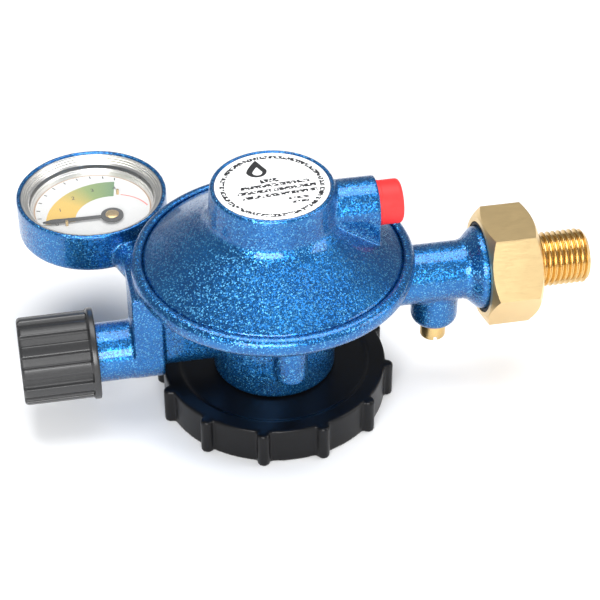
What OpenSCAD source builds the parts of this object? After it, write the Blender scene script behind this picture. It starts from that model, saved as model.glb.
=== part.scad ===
// Low-pressure gas regulator with a hand wheel inlet, a contents gauge and a shut-off knob.
// Millimetres. The origin is the centre of the threaded inlet's lower end, +Z runs up the inlet
// axis through the spring tower, and +X runs along the outlet.

/* [Casing] */
// Outer radius of the rolled bead that joins the two casing halves
casing_r = 33; // [31.5:0.5:40]
// Width of the rolled lip, from the bead's outside to the seam
lip_w = 2.65; // [2.2:0.05:3.2]
// Height of the clamping face under the cover's flange
clamp_z = 37; // [36:0.5:45]
// Thickness of the cover's flange
flange_t = 1.9; // [1.6:0.1:2.4]
// Height of the floor of the pressure chamber
floor_z = 25; // [24.8:0.1:25.2]
// Wall thickness of the die-cast body
body_wall = 2; // [1.6:0.1:2.2]
// Wall thickness of the cover
cover_wall = 1.8; // [1.4:0.1:2.1]

/* [Spring tower] */
// Radius of the tower at its foot
tower_foot_r = 14.8; // [14.5:0.1:16]
// Radius of the tower at its rim
tower_r = 14.2; // [13.9:0.1:14.4]
// Height of the tower's foot above the clamping face
cone_h = 13.3; // [12:0.1:16]
// Height of the tower from its foot to its rim
tower_h = 9; // [8.6:0.1:11]
// Radius of the round label
label_r = 13.2; // [12.9:0.05:13.3]
// Radius of the adjusting screw
adjuster_r = 11.5; // [11:0.1:12]

/* [Vent] */
// Radius of the vent boss
vent_r = 6.5; // [6:0.1:7]
// Distance from the tower's axis to the vent boss's face
vent_x = 24; // [22.5:0.1:26]
// Radius of the vent hole
vent_hole_r = 3.4; // [3:0.1:3.8]
// Radius of the vent cap
vent_cap_r = 5.3; // [4.6:0.1:5.8]
// Length of the vent cap that shows
vent_cap_l = 5.8; // [4:0.1:8]

/* [Outlet] */
// Height of the outlet tube's axis
outlet_z = 28.7; // [28.5:0.1:29]
// Radius of the outlet tube
outlet_r = 7.1; // [6.6:0.1:7.4]
// Radius of the gas way in the outlet
outlet_bore_r = 4; // [3.2:0.1:4.2]
// Length of the outlet tube from the casing's bead to the flared collar
tube_l = 13; // [12.7:0.1:21]
// Radius of the collar
collar_r = 10; // [9.8:0.1:10.4]
// Width across the flats of the hexagon
hex_af = 25; // [24.5:0.1:28]
// Length of the hexagon
hex_l = 12.5; // [12:0.1:16]
// Major radius of the outlet thread
thread_r = 6.58; // [6.2:0.01:7.9]
// Length of the outlet thread
thread_l = 13.5; // [11:0.5:18]

/* [Test point] */
// Distance from the casing's bead to the middle of the test boss
test_reach = 6.4; // [6:0.1:6.9]
// Radius of the test boss
test_r = 5.7; // [5.2:0.1:5.8]
// Height of the test boss's lower end
test_z = 14.4; // [13.8:0.1:16]

/* [Shut-off valve] */
// Gap between the valve block and the hand wheel under it
valve_gap = 0.8; // [0.7:0.1:1]
// Radius of the valve's barrel
barrel_r = 7.07; // [6.9:0.01:7.3]
// How far the valve block's outer face stands past the casing's bead
block_reach = 1; // [0.6:0.1:1.4]
// Distance from the casing's bead to the knob's open end
knob_reach = 9.5; // [9.2:0.1:11.5]
// Length of the knob
knob_l = 18; // [16:0.5:22]
// Radius over the knob's ribs
knob_r = 10.4; // [10:0.1:12]
// Number of ribs round the knob
knob_ribs = 12; // [8:1:14]

/* [Gauge] */
// Gap between the gauge cup and the casing's bead
gauge_gap = 1.29; // [1.1:0.01:2]
// Direction of the gauge from the inlet axis, measured from the knob's side
gauge_dir = 42.46; // [42:0.01:43.5]
// Outer radius of the gauge cup
gauge_r = 18.3; // [18.1:0.05:22]
// Height of the gauge cup's rim
gauge_top_z = 37.5; // [37:0.1:38]
// Depth of the gauge cup, outside
gauge_h = 10.5; // [10.3:0.1:11]
// Radius of the dial that shows
dial_r = 14.3; // [13.5:0.1:14.6]
// Length of the pointer from its pivot to its tip
pointer_l = 16.9; // [14:0.1:17.2]
// Angle that the pointer sweeps between its pins
pointer_sweep = 98; // [60:1:100]

/* [Hand wheel] */
// Radius over the hand wheel's ribs
wheel_r = 28.8; // [27.5:0.1:34]
// Height of the hand wheel
wheel_h = 9.4; // [9:0.1:9.8]
// Number of ribs round the hand wheel
wheel_ribs = 12; // [8:1:16]
// Radius of one rib of the hand wheel
wheel_rib_r = 1.5; // [1.2:0.1:1.8]
// Radius of the neck above the hand wheel
neck_r = 14.6; // [14.2:0.1:15.4]
// Major radius of the inlet thread
inlet_r = 8; // [7.8:0.05:8.5]

/* [Regulating parts] */
// How far the diaphragm lifts
lift = 2; // [1:0.1:2.2]
// Radius of the main spring's coil
spring_r = 7.6; // [7:0.1:8.2]
// Radius of the main spring's wire
spring_wire_r = 0.6; // [0.5:0.05:0.7]
// Turns of the main spring
spring_turns = 6.5; // [5:0.5:7]

/* [Fits] */
// Radial clearance of a running fit
run = 0.05; // [0.03:0.01:0.08]
// Gap between faces that pass each other
gap = 0.3; // [0.2:0.05:0.4]
// Radial gap of a pressed or threaded piece in its seat
seated = 0.02; // [0.01:0.01:0.04]

/* [Hidden] */
$fn = 96;

// Casing: radii outwards and heights upwards
seam_r = casing_r - lip_w;
clamp_r = casing_r - 1.7;
bead_r = 1.9;
chamber_r = casing_r - 4.4;
rim_z = clamp_z - 1;
pan_floor_r = 15;
pan_edge_r = chamber_r - 1;
pan_edge_z = rim_z - 1.6;
function pan_r_at(z) = pan_floor_r
    + (pan_edge_r - pan_floor_r) * (z - floor_z) / (pan_edge_z - floor_z);
flange_z = clamp_z + flange_t;
cone_z = clamp_z + cone_h;
tower_z = cone_z + tower_h;
slope_in_r = tower_foot_r + 1.6;
slope_out_r = seam_r - gap;
slope_out_z = flange_z + 0.9;
cover_slope = (cone_z - 1 - slope_out_z) / (slope_out_r - slope_in_r);
function cover_inside_z(r) = slope_out_z + cover_slope * (slope_out_r - r)
    - cover_wall * sqrt(1 + cover_slope * cover_slope);
block_w = 14.4;
wheel_z = -1;
wheel_top_z = wheel_z + wheel_h;
valve_z = wheel_top_z + valve_gap + max(barrel_r, block_w / 2);
neck_z = 8;

// Places outside the casing, which follow its radius
flare_x = casing_r + tube_l;
test_x = casing_r + test_reach;
block_x = casing_r + block_reach;
block_in_x = casing_r - 6;
riser_x = casing_r - 2.5;
knob_x = casing_r + knob_reach;
gauge_far = casing_r + gauge_gap + gauge_r;
gauge_x = -gauge_far * cos(gauge_dir);
gauge_y = gauge_far * sin(gauge_dir);

// Spring tower
label_t = 0.25;
cap_t = 1.75;
cap_z = tower_z - 0.3 - label_t - cap_t;
adjuster_t = 4;
adjuster_z = cap_z - adjuster_t - 0.5;
adjuster_key_af = 8;
vent_z = cone_z + 0.7;

// Regulating parts: the plate rides on the diaphragm's middle, the stem hangs through both
diaphragm_t = 0.8;
centre_z = clamp_z - 3;
plate_z = centre_z + diaphragm_t;
plate_r = 14;
plate_t = 1.2;
stem_r = 1.8;
stem_hole_r = stem_r + run;
stem_bottom_z = floor_z + 0.7;
stem_top_z = plate_z + 9;
nut_z = stem_top_z - 3;
nut_t = 2.4;
relief_coil_r = 3.2;
relief_wire_r = 0.3;

// Lever: a bell crank on a pin, its long arm in the stem's fork and its short arm at the seat pad
nozzle_z = 31;
nozzle_r = 2.5;
nozzle_tip_x = -(pan_r_at(nozzle_z - 2.6) - 0.6);
nozzle_back_x = -block_in_x - 0.6;
pivot_x = -14.5;
pivot_z = nozzle_z - 4;
pin_r = 0.8;
arm_z = pivot_z - 0.5;
arm_t = 1;
fork_low_z = arm_z - 0.45;
fork_high_z = arm_z + arm_t + 0.25;
pad_stroke = lift * (nozzle_z - pivot_z) / -pivot_x;
pad_t = 1;
pad_r = 1.9;
pad_x = nozzle_tip_x + pad_stroke + 0.05;

// Outlet
collar_x = flare_x + 2.5;
collar_l = 3;
spigot_x = collar_x + collar_l;
spigot_r = 8;
spigot_l = 7;
hex_x = collar_x + 1.5;
wiper_x = hex_x + 0.1;
wiper_l = 2;
wiper_r = collar_r + 1;
nut_bore_x = hex_x + 2.4;
nut_bore_l = spigot_x + spigot_l + gap - nut_bore_x;
snap_x = spigot_x + 2;
snap_r = spigot_r - 0.7;
snap_w = 0.9;
ring_x = spigot_x + 4.6;
ring_r = 0.65;

// Shut-off valve, measured from the inlet axis towards -X
arm_r = 4.6;
valve_bore_r = 4.6;
barrel_x = knob_x + 3.5;
seat_x = block_in_x + 1.6;
shut_pad_r = 3.2;
shut_pad_t = 1.6;
spindle_r = 2;
spindle_in_x = seat_x + shut_pad_t + 2.4;
collar_in_x = spindle_in_x + 1.6;
collar_t = 5;
gland_x = collar_in_x + collar_t + 1.6;
knob_out_x = knob_x + knob_l;
knob_pocket_r = barrel_r + 0.5;
knob_pocket_x = barrel_x + 3;
spindle_out_x = knob_out_x - 2.3;

// Gas ways
feed_z = valve_z + 2.2;
feed_r = 1.2;
riser_r = 1.3;

// Test point
test_head_r = 3.1;
test_head_l = 4.2;
washer_t = 0.5;

// Hand wheel and inlet
wheel_rib_c = wheel_r - wheel_rib_r;
wheel_skirt_r = wheel_r - 1.9;
wheel_wall = 2.2;
wheel_step_r = wheel_skirt_r - 3.9;
wheel_step_z = wheel_top_z - 0.7;
wheel_plate_z = 6.2;
bolt_af = 18;
bolt_head_r = 11;
bolt_head_z = neck_z + 0.1;
bolt_head_t = 2.8;
socket_z = bolt_head_z + bolt_head_t + gap + 0.8;
nipple_r = 5;
nipple_flange_r = 6.5;
nipple_way_r = 3;
nipple_z = 0.25;
nipple_flange_t = 1.4;
nipple_top_z = feed_z - feed_r - 0.2;
seal_z = -0.5;

// Gauge: the cup, the stack under the lens and the movement
cup_bore_r = gauge_r - 1;
cup_low_bore_r = gauge_r - 2;
cup_z = gauge_top_z - gauge_h;
cup_floor_z = cup_z + 1.4;
cup_round_r = 1.2;
dial_t = 0.5;
dial_z = gauge_top_z - 5.4;
dial_top_z = dial_z + dial_t;
lens_t = 1;
lens_z = dial_top_z + 1.6;
ring_z = lens_z + lens_t;
ring_h = 1.9;
ring_fit_r = cup_bore_r - 0.05;
pivot_dx = 4.4;
pivot_dy = -4.7;
pointer_z = dial_top_z + 0.5;
pointer_t = 0.4;
hub_r = 2.75;
rivet_z = pointer_z + pointer_t + 0.2;
arbor_r = 0.6;
pinion_r = 1.2;
sector_r = 8;
gear_z = cup_floor_z + 1;
gear_t = 0.8;
sector_dir = 150;
sector_tail = 5;
tube_r = 14.6;
tube_t = 1.2;
tube_h = 2.2;
tube_z = cup_floor_z + 0.5;
tube_start = 6;
tube_sweep = 223;
arm_from = [-block_in_x - 0.5, 6];
arm_to_f = 0.55;
gauge_arm_z = gauge_top_z - 7.5;
gauge_arm_r = 4;

// ---- Shared shapes ----

module rod_x(r, x0, x1) {
    translate([x0, 0, 0]) rotate([0, 90, 0]) cylinder(r = r, h = x1 - x0);
}

// A rod along -X, between two distances from the inlet axis
module rod_back(r, d0, d1) {
    rod_x(r, -d1, -d0);
}

module tube(r_out, r_in, z0, z1) {
    difference() {
        translate([0, 0, z0]) cylinder(r = r_out, h = z1 - z0);
        translate([0, 0, z0 - 1]) cylinder(r = r_in, h = z1 - z0 + 2);
    }
}

module ring(r, wire_r) {
    rotate_extrude() translate([r, 0]) circle(wire_r, $fn = 32);
}

// Height of a coil's wire after u turns: one closed turn lies against the next at each end
function coil_height(u, turns, wire_r, rise) = 2.1 * wire_r * (min(u, 1) + max(0, u - turns + 1))
    + rise * min(max(u - 1, 0), turns - 2) / (turns - 2);

// A compression spring standing from z0 to z1, swept from round sections
module coil(r, wire_r, z0, z1, turns) {
    steps = round(turns * 20);
    sides = 8;
    low = z0 + wire_r;
    rise = z1 - z0 - 6.2 * wire_r;
    points = [for (i = [0:steps]) let (u = turns * i / steps, a = 360 * u,
            z = low + coil_height(u, turns, wire_r, rise))
        for (k = [0:sides - 1]) let (b = 360 * k / sides, q = r + wire_r * cos(b))
            [q * cos(a), q * sin(a), z + wire_r * sin(b)]];
    walls = [for (i = [0:steps - 1]) for (k = [0:sides - 1]) let (n = (k + 1) % sides)
        [i * sides + k, (i + 1) * sides + k, (i + 1) * sides + n, i * sides + n]];
    ends = [[for (k = [0:sides - 1]) k], [for (k = [sides - 1:-1:0]) steps * sides + k]];
    polyhedron(points = points, faces = concat(walls, ends), convexity = 10);
}

module at_outlet() translate([0, 0, outlet_z]) children();
module at_valve() translate([0, 0, valve_z]) children();
module at_gauge() translate([gauge_x, gauge_y, 0]) children();
module at_pivot() at_gauge() translate([pivot_dx, pivot_dy, 0]) children();
module at_sector() at_pivot() rotate(sector_dir) translate([sector_r + pinion_r + 0.05, 0, 0]) children();
module at_socket() at_gauge() rotate(atan2(arm_from[1] - gauge_y, arm_from[0] - gauge_x)) children();

// ---- Casing ----

// Half section of the body's outside, from the neck to the rolled lip
module body_section() {
    slope_drop = 1.25 * body_wall;
    polygon([[0, neck_z], [neck_r, neck_z], [neck_r, floor_z - slope_drop - 0.6],
        [pan_floor_r + 0.8, floor_z - slope_drop + 0.6],
        [casing_r - bead_r - 0.4, clamp_z - 2.7 - 0.1 * body_wall],
        [casing_r - bead_r, clamp_z], [casing_r - bead_r, flange_z + 1.3], [0, flange_z + 1.3]]);
    translate([casing_r - bead_r, flange_z - 0.6]) circle(bead_r);
    translate([casing_r - bead_r, clamp_z + 0.4]) circle(bead_r);
    translate([casing_r - bead_r, clamp_z + 0.4]) square([bead_r, flange_z - clamp_z - 1]);
}

// Half section of the hollow: the chamber, the clamped flange's seat and the open top
module body_hollow() {
    polygon([[0, floor_z], [pan_floor_r, floor_z], [pan_edge_r, pan_edge_z], [chamber_r, rim_z],
        [clamp_r, rim_z], [clamp_r, flange_z], [seam_r, flange_z],
        [seam_r, flange_z + 3], [0, flange_z + 3]]);
}

module valve_block() {
    at_valve() {
        rod_back(barrel_r, block_in_x, barrel_x);
        rod_back(arm_r, 8, block_in_x);
        translate([-block_x, -block_w / 2, 0])
            cube([block_x - block_in_x, block_w, clamp_z - valve_z - 1]);
        rod_back(block_w / 2, block_in_x, block_x);
        translate([-block_in_x - 1, -arm_r, 0]) cube([block_in_x - neck_r + 4, 2 * arm_r, 10]);
    }
    translate([0, 0, nozzle_z]) rod_back(nozzle_r + 1.7, pan_r_at(nozzle_z) - 1, block_in_x + 1);
}

module gauge_cup() {
    at_gauge() {
        translate([0, 0, cup_z + cup_round_r]) cylinder(r = gauge_r, h = gauge_h - cup_round_r);
        translate([0, 0, cup_z + cup_round_r]) rotate_extrude() intersection() {
            union() {
                translate([gauge_r - cup_round_r, 0]) circle(cup_round_r);
                translate([0, -cup_round_r]) square([gauge_r - cup_round_r, 2 * cup_round_r]);
            }
            translate([0, -cup_round_r]) square([gauge_r, cup_round_r + 0.1]);
        }
    }
    gauge_arm(gauge_arm_r, arm_to_f);
}

// Round arm from the valve block towards the gauge's middle, along a share of the way
module gauge_arm(r, share) {
    dx = gauge_x - arm_from[0];
    dy = gauge_y - arm_from[1];
    translate([arm_from[0], arm_from[1], gauge_arm_z]) rotate(atan2(dy, dx))
        rod_x(r, 0, share * norm([dx, dy]));
}

module outlet_tube() {
    at_outlet() {
        rod_x(outlet_r, pan_floor_r + 1, flare_x + 1);
        translate([flare_x, 0, 0]) rotate([0, 90, 0])
            cylinder(r1 = outlet_r, r2 = collar_r, h = collar_x - flare_x);
        rod_x(collar_r, collar_x, spigot_x);
        difference() {
            rod_x(spigot_r, spigot_x, spigot_x + spigot_l);
            groove_x(snap_x, snap_w + 0.2, snap_r - 0.1, spigot_r + 1);
            groove_x(ring_x - ring_r - 0.1, 2 * ring_r + 0.2, spigot_r - 2 * ring_r, spigot_r + 1);
        }
    }
}

module groove_x(x, w, r_in, r_out) {
    translate([x, 0, 0]) rotate([0, 90, 0]) tube(r_out, r_in, 0, w);
}

module test_boss() {
    round_r = 2.4;
    translate([test_x, 0, test_z + round_r]) cylinder(r = test_r, h = outlet_z - test_z - round_r);
    translate([test_x, 0, test_z + round_r]) rotate_extrude() intersection() {
        union() {
            translate([test_r - round_r, 0]) circle(round_r);
            translate([0, -round_r]) square([test_r - round_r, 2 * round_r]);
        }
        translate([0, -round_r]) square([test_r, round_r + 0.1]);
    }
}

// Half-round boss under the pan, in front of the neck
module neck_boss() {
    boss_z = 16.6;
    translate([1, -neck_r - 2.2, boss_z]) cylinder(r = 4, h = floor_z + 1 - boss_z);
}

module gas_ways() {
    translate([0, 0, feed_z]) rod_back(feed_r, 0, block_in_x - 3.5);
    translate([-block_in_x + 3.5, 0, valve_z]) cylinder(r = feed_r, h = feed_z - valve_z);
    at_valve() rod_back(1.6, block_in_x - 4.8, seat_x + 0.1);
    at_valve() rod_back(valve_bore_r, seat_x, barrel_x + 1);
    translate([-riser_x, 0, valve_z]) cylinder(r = riser_r, h = nozzle_z - valve_z);
    translate([0, 0, nozzle_z]) rod_back(riser_r, -nozzle_back_x - 1, riser_x);
    translate([0, 0, nozzle_z]) rod_back(nozzle_r, -nozzle_tip_x, -nozzle_back_x);
    translate([-riser_x, 0, gauge_arm_z]) rotate([-90, 0, 0])
        cylinder(r = 1, h = 12.6);
    translate([0, 0, outlet_z]) rod_x(outlet_bore_r, pan_floor_r + 2, spigot_x + spigot_l + 1);
    translate([test_x, 0, test_z - 1]) cylinder(r = 1.9, h = outlet_z - test_z);
}

module lower_housing() {
    color([0.10, 0.33, 0.62]) {
        difference() {
            union() {
                rotate_extrude() body_section();
                valve_block();
                gauge_cup();
                outlet_tube();
                test_boss();
                neck_boss();
            }
            rotate_extrude() body_hollow();
            translate([0, 0, neck_z - 1]) cylinder(r = bolt_head_r + gap, h = socket_z - neck_z + 1);
            translate([0, 0, socket_z - 1]) cylinder(r = nipple_r, h = feed_z + 0.5 - socket_z + 1);
            gas_ways();
            at_gauge() translate([0, 0, cup_floor_z]) cylinder(r = cup_low_bore_r, h = gauge_h);
            at_gauge() translate([0, 0, dial_z]) cylinder(r = cup_bore_r, h = gauge_h);
        }
        lever_ears();
    }
}

// Two ears on the chamber's floor that hold the lever's pin
module lever_ears() {
    for (side = [-1, 1]) difference() {
        translate([pivot_x - 1.6, side * 3.4 - 0.7, floor_z - 0.5])
            cube([3.2, 1.4, pivot_z - floor_z + 2.1]);
        translate([pivot_x, side * 3.4 - 2, pivot_z]) rotate([-90, 0, 0]) cylinder(r = pin_r, h = 4);
    }
}

module cover_section() {
    polygon([[0, cap_z - 6], [0, tower_z], [tower_r - 0.5, tower_z], [tower_r, tower_z - 0.5],
        [tower_foot_r, cone_z + 1.2], [slope_in_r, cone_z - 1], [slope_out_r, slope_out_z],
        [slope_out_r, flange_z], [clamp_r, flange_z],
        [clamp_r, clamp_z], [0, clamp_z]]);
    translate([tower_r - 0.5, tower_z - 0.5]) circle(0.5);
}

module cover_hollow() {
    polygon([[0, clamp_z - 1], [chamber_r, clamp_z - 1], [chamber_r, cover_inside_z(chamber_r)],
        [adjuster_r + 1.8, cover_inside_z(adjuster_r + 1.8)], [adjuster_r, cone_z + 0.8],
        [adjuster_r, cap_z], [label_r, cap_z], [label_r, tower_z + 1], [0, tower_z + 1]]);
}

module bonnet() {
    color([0.10, 0.33, 0.62]) difference() {
        union() {
            rotate_extrude() cover_section();
            translate([0, 0, vent_z]) rod_x(vent_r, 8, vent_x);
            translate([8, -vent_r, flange_z + 1]) cube([vent_x - 8, 2 * vent_r, vent_z - flange_z - 1]);
        }
        rotate_extrude() cover_hollow();
        translate([0, 0, vent_z]) rod_x(vent_hole_r, 5, vent_x + 1);
    }
}

module tower_cap() {
    color([0.10, 0.33, 0.62]) translate([0, 0, cap_z]) cylinder(r = label_r - seated, h = cap_t);
}

module label_disc() {
    color("white") translate([0, 0, cap_z + cap_t]) cylinder(r = label_r - 0.1, h = label_t);
}

module adjusting_screw() {
    color([0.78, 0.62, 0.33]) difference() {
        translate([0, 0, adjuster_z]) cylinder(r = adjuster_r - seated, h = adjuster_t);
        translate([0, 0, adjuster_z + 1.5])
            cylinder(r = adjuster_key_af / 2 / cos(30), h = adjuster_t, $fn = 6);
    }
}

// ---- Regulating parts ----

module main_spring() {
    color("silver") coil(spring_r, spring_wire_r, plate_z + plate_t + 0.02, adjuster_z - 0.02,
        spring_turns);
}

// Moulded disc: a flat rim in the clamp, a slope, and a flat middle that hangs low at rest
module diaphragm() {
    color([0.16, 0.16, 0.17]) rotate_extrude() polygon([
        [stem_hole_r + 0.4, centre_z], [plate_r + 1, centre_z], [chamber_r - 0.8, rim_z + 0.1],
        [clamp_r - 0.05, rim_z + 0.1], [clamp_r - 0.05, clamp_z],
        [chamber_r - 1.2, clamp_z], [plate_r + 0.8, centre_z + diaphragm_t],
        [stem_hole_r + 0.4, centre_z + diaphragm_t]]);
}

module diaphragm_plate() {
    color([0.75, 0.76, 0.78]) difference() {
        translate([0, 0, plate_z]) union() {
            cylinder(r = plate_r - 0.4, h = plate_t);
            cylinder(r = spring_r - spring_wire_r - 0.4, h = plate_t + 0.9);
        }
        translate([0, 0, plate_z - 1]) cylinder(r = stem_r, h = 5);
    }
}

// Stem through the diaphragm, with a flange under it and a slot for the lever at its foot
module diaphragm_stem() {
    color([0.80, 0.65, 0.36]) difference() {
        union() {
            translate([0, 0, stem_bottom_z]) cylinder(r = 2.6, h = centre_z - stem_bottom_z - 1.2);
            translate([0, 0, centre_z - 1.5]) cylinder(r = 6, h = 1.5);
            translate([0, 0, centre_z - 1]) cylinder(r = stem_r, h = stem_top_z - centre_z + 1);
        }
        translate([-4, -4, fork_low_z]) cube([5.4, 8, fork_high_z - fork_low_z]);
    }
}

module stem_nut() {
    color([0.72, 0.73, 0.75]) difference() {
        translate([0, 0, nut_z]) cylinder(r = 4, h = nut_t, $fn = 6);
        translate([0, 0, nut_z - 1]) cylinder(r = stem_r, h = nut_t + 2);
    }
}

module relief_spring() {
    color("silver") coil(relief_coil_r, relief_wire_r, plate_z + plate_t + 0.92, nut_z - 0.02, 4);
}

// Bell crank: the short arm stands up beside the seat pad, the long arm reaches the stem's slot
module lever() {
    color([0.70, 0.71, 0.73]) difference() {
        union() {
            translate([pivot_x, -2.4, pivot_z]) rotate([-90, 0, 0]) cylinder(r = 1.5, h = 4.8);
            translate([pivot_x, -1, arm_z]) cube([-pivot_x + 0.9, 2, arm_t]);
            translate([pivot_x - 0.6, -0.9, pivot_z]) cube([1.2, 1.8, nozzle_z - pivot_z + 0.4]);
        }
        translate([pivot_x, -4, pivot_z]) rotate([-90, 0, 0]) cylinder(r = pin_r + run, h = 8);
    }
}

module lever_pin() {
    color([0.75, 0.76, 0.78]) translate([pivot_x, -4.1, pivot_z]) rotate([-90, 0, 0])
        cylinder(r = pin_r, h = 8.2);
}

module inlet_nozzle() {
    color([0.80, 0.65, 0.36]) translate([0, 0, nozzle_z]) difference() {
        union() {
            rod_back(nozzle_r - seated, -nozzle_tip_x + 0.8, -nozzle_back_x);
            rod_back(1.5, -nozzle_tip_x, -nozzle_tip_x + 0.9);
        }
        rod_back(0.9, -nozzle_tip_x - 1, -nozzle_back_x + 1);
    }
}

// Carrier that slides on the nozzle's axis, open at the back where the lever's short arm pushes
module pad_holder() {
    color([0.85, 0.85, 0.86]) translate([0, 0, nozzle_z]) difference() {
        rod_x(pad_r + 0.5, pad_x - 0.4, pivot_x - 0.6 - gap);
        rod_x(pad_r, pad_x - 1, pad_x + pad_t);
    }
}

module seat_pad() {
    color([0.12, 0.12, 0.12]) translate([0, 0, nozzle_z]) rod_x(pad_r, pad_x, pad_x + pad_t);
}

// ---- Vent ----

module vent_cap() {
    color([0.86, 0.16, 0.18]) translate([0, 0, vent_z]) {
        translate([vent_x + 0.05, 0, 0]) rotate([0, 90, 0]) rotate_extrude() {
            square([vent_cap_r, vent_cap_l - 0.9]);
            square([vent_cap_r - 0.9, vent_cap_l]);
            translate([vent_cap_r - 0.9, vent_cap_l - 0.9]) circle(0.9);
        }
        difference() {
            rod_x(vent_hole_r - run, vent_x - 5, vent_x + 1);
            rod_x(vent_hole_r - 1.2, vent_x - 6, vent_x + 0.5);
        }
    }
}

module vent_screen() {
    color([0.7, 0.7, 0.7]) translate([0, 0, vent_z]) difference() {
        rod_x(vent_hole_r - seated, vent_x - 6.3, vent_x - 5.5);
        for (k = [0:5]) rotate([60 * k, 0, 0]) translate([0, 1.9, 0])
            rod_x(0.6, vent_x - 7, vent_x - 5);
        rod_x(0.6, vent_x - 7, vent_x - 5);
    }
}

// ---- Outlet ----

module outlet_connector() {
    color([0.80, 0.65, 0.36]) at_outlet() difference() {
        union() {
            intersection() {
                translate([hex_x, 0, 0]) rotate([0, 90, 0]) rotate(30)
                    cylinder(r = hex_af / 2 / cos(30), h = hex_l, $fn = 6);
                hex_chamfer();
            }
            rod_x(thread_r, hex_x + hex_l - 1, hex_x + hex_l + thread_l - 0.9);
            translate([hex_x + hex_l + thread_l - 0.9, 0, 0]) rotate([0, 90, 0])
                cylinder(r1 = thread_r, r2 = thread_r - 0.9, h = 0.9);
        }
        rod_x(wiper_r, hex_x - 1, nut_bore_x);
        rod_x(spigot_r + run, nut_bore_x - 1, nut_bore_x + nut_bore_l);
        groove_x(snap_x, snap_w + 0.2, spigot_r - 1, spigot_r + 0.8);
        rod_x(outlet_bore_r, nut_bore_x, hex_x + hex_l + thread_l + 1);
    }
}

// Body of revolution that rounds off the hexagon's corners at both ends
module hex_chamfer() {
    corner_r = hex_af / 2 / cos(30);
    translate([hex_x, 0, 0]) rotate([0, 90, 0]) rotate_extrude()
        polygon([[0, 0], [hex_af / 2 - 0.3, 0], [corner_r, (corner_r - hex_af / 2) * 0.75],
            [corner_r, hex_l - (corner_r - hex_af / 2) * 0.75], [hex_af / 2 - 0.3, hex_l],
            [0, hex_l]]);
}

module outlet_wiper_ring() {
    color([0.08, 0.08, 0.08]) at_outlet() groove_x(wiper_x, wiper_l, collar_r + run, wiper_r);
}

// Split wire ring that holds the swivelling connector on the spigot
module outlet_snap_ring() {
    color([0.7, 0.7, 0.72]) at_outlet() difference() {
        groove_x(snap_x + 0.1, snap_w, snap_r, spigot_r + 0.6);
        translate([snap_x - 1, -1, 0]) cube([snap_w + 2, 2, 12]);
    }
}

module outlet_o_ring() {
    color([0.08, 0.08, 0.08]) at_outlet() translate([ring_x, 0, 0]) rotate([0, 90, 0])
        ring(spigot_r - ring_r, ring_r);
}

// ---- Test point ----

module test_screw() {
    head_z = test_z - washer_t - test_head_l;
    color([0.80, 0.65, 0.36]) translate([test_x, 0, 0]) difference() {
        union() {
            translate([0, 0, head_z + 0.5]) cylinder(r = test_head_r, h = test_head_l - 0.5);
            translate([0, 0, head_z]) cylinder(r1 = test_head_r - 0.5, r2 = test_head_r, h = 0.5);
            translate([0, 0, head_z + 1]) cylinder(r = 1.9, h = test_head_l + washer_t + 5);
        }
        translate([-0.5, -test_head_r - 1, head_z - 1]) cube([1, 2 * test_head_r + 2, 2.2]);
    }
}

module test_washer() {
    color([0.72, 0.45, 0.30]) translate([test_x, 0, 0])
        tube(test_head_r + 0.5, 1.9, test_z - washer_t, test_z);
}

// ---- Shut-off valve ----

// Ribbed grip with a plain flange at its open end
module shutoff_knob() {
    flange_l = 1.6;
    rib_w = 2.7;
    color([0.07, 0.07, 0.07]) at_valve() difference() {
        union() {
            rod_back(knob_r + 0.5, knob_x, knob_x + flange_l);
            rod_back(knob_r - 0.9, knob_x + 0.5, knob_out_x - 0.9);
            translate([-knob_out_x, 0, 0]) rotate([0, 90, 0])
                cylinder(r1 = knob_r - 1.8, r2 = knob_r - 0.9, h = 0.9);
            for (k = [0:knob_ribs - 1]) rotate([360 * k / knob_ribs + 38.8, 0, 0]) intersection() {
                translate([-knob_out_x, -knob_r, -rib_w / 2]) cube([knob_l - 1, 4, rib_w]);
                union() {
                    rod_back(knob_r, knob_x + 0.5, knob_out_x - 0.9);
                    translate([-knob_out_x, 0, 0]) rotate([0, 90, 0])
                        cylinder(r1 = knob_r - 0.9, r2 = knob_r, h = 0.9);
                }
            }
        }
        rod_back(knob_pocket_r, knob_x - 1, knob_pocket_x);
        rod_back(spindle_r + seated, knob_x, knob_out_x);
        rod_back(3.2, spindle_out_x, knob_out_x + 1);
    }
}

module shutoff_spindle() {
    color([0.80, 0.65, 0.36]) at_valve() difference() {
        union() {
            rod_back(spindle_r, spindle_in_x, spindle_out_x - 0.02);
            rod_back(valve_bore_r - 2 * run, collar_in_x, collar_in_x + collar_t);
        }
        rod_back(0.9, spindle_out_x - 5, knob_out_x);
        groove_x(-(gland_x + 3.5), 1.4, spindle_r - 0.8, spindle_r + 1);
    }
}

module spindle_o_ring() {
    color([0.08, 0.08, 0.08]) at_valve() translate([-(gland_x + 2.8), 0, 0]) rotate([0, 90, 0])
        ring(spindle_r - 0.3, 0.45);
}

module spindle_gland() {
    color([0.80, 0.65, 0.36]) at_valve() difference() {
        union() {
            rod_back(valve_bore_r - seated, gland_x, barrel_x);
            rod_back(barrel_r - 1.2, barrel_x, barrel_x + 1.4);
        }
        rod_back(spindle_r + 0.2, gland_x - 1, barrel_x + 3);
    }
}

// Rubber-faced pad that the spindle presses on the seat; it slides and does not turn
module shutoff_pad() {
    color([0.12, 0.12, 0.12]) at_valve() {
        rod_back(shut_pad_r, seat_x + 0.02, seat_x + shut_pad_t);
        rod_back(valve_bore_r - 0.3, seat_x + shut_pad_t, spindle_in_x - 0.05);
    }
}

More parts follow.
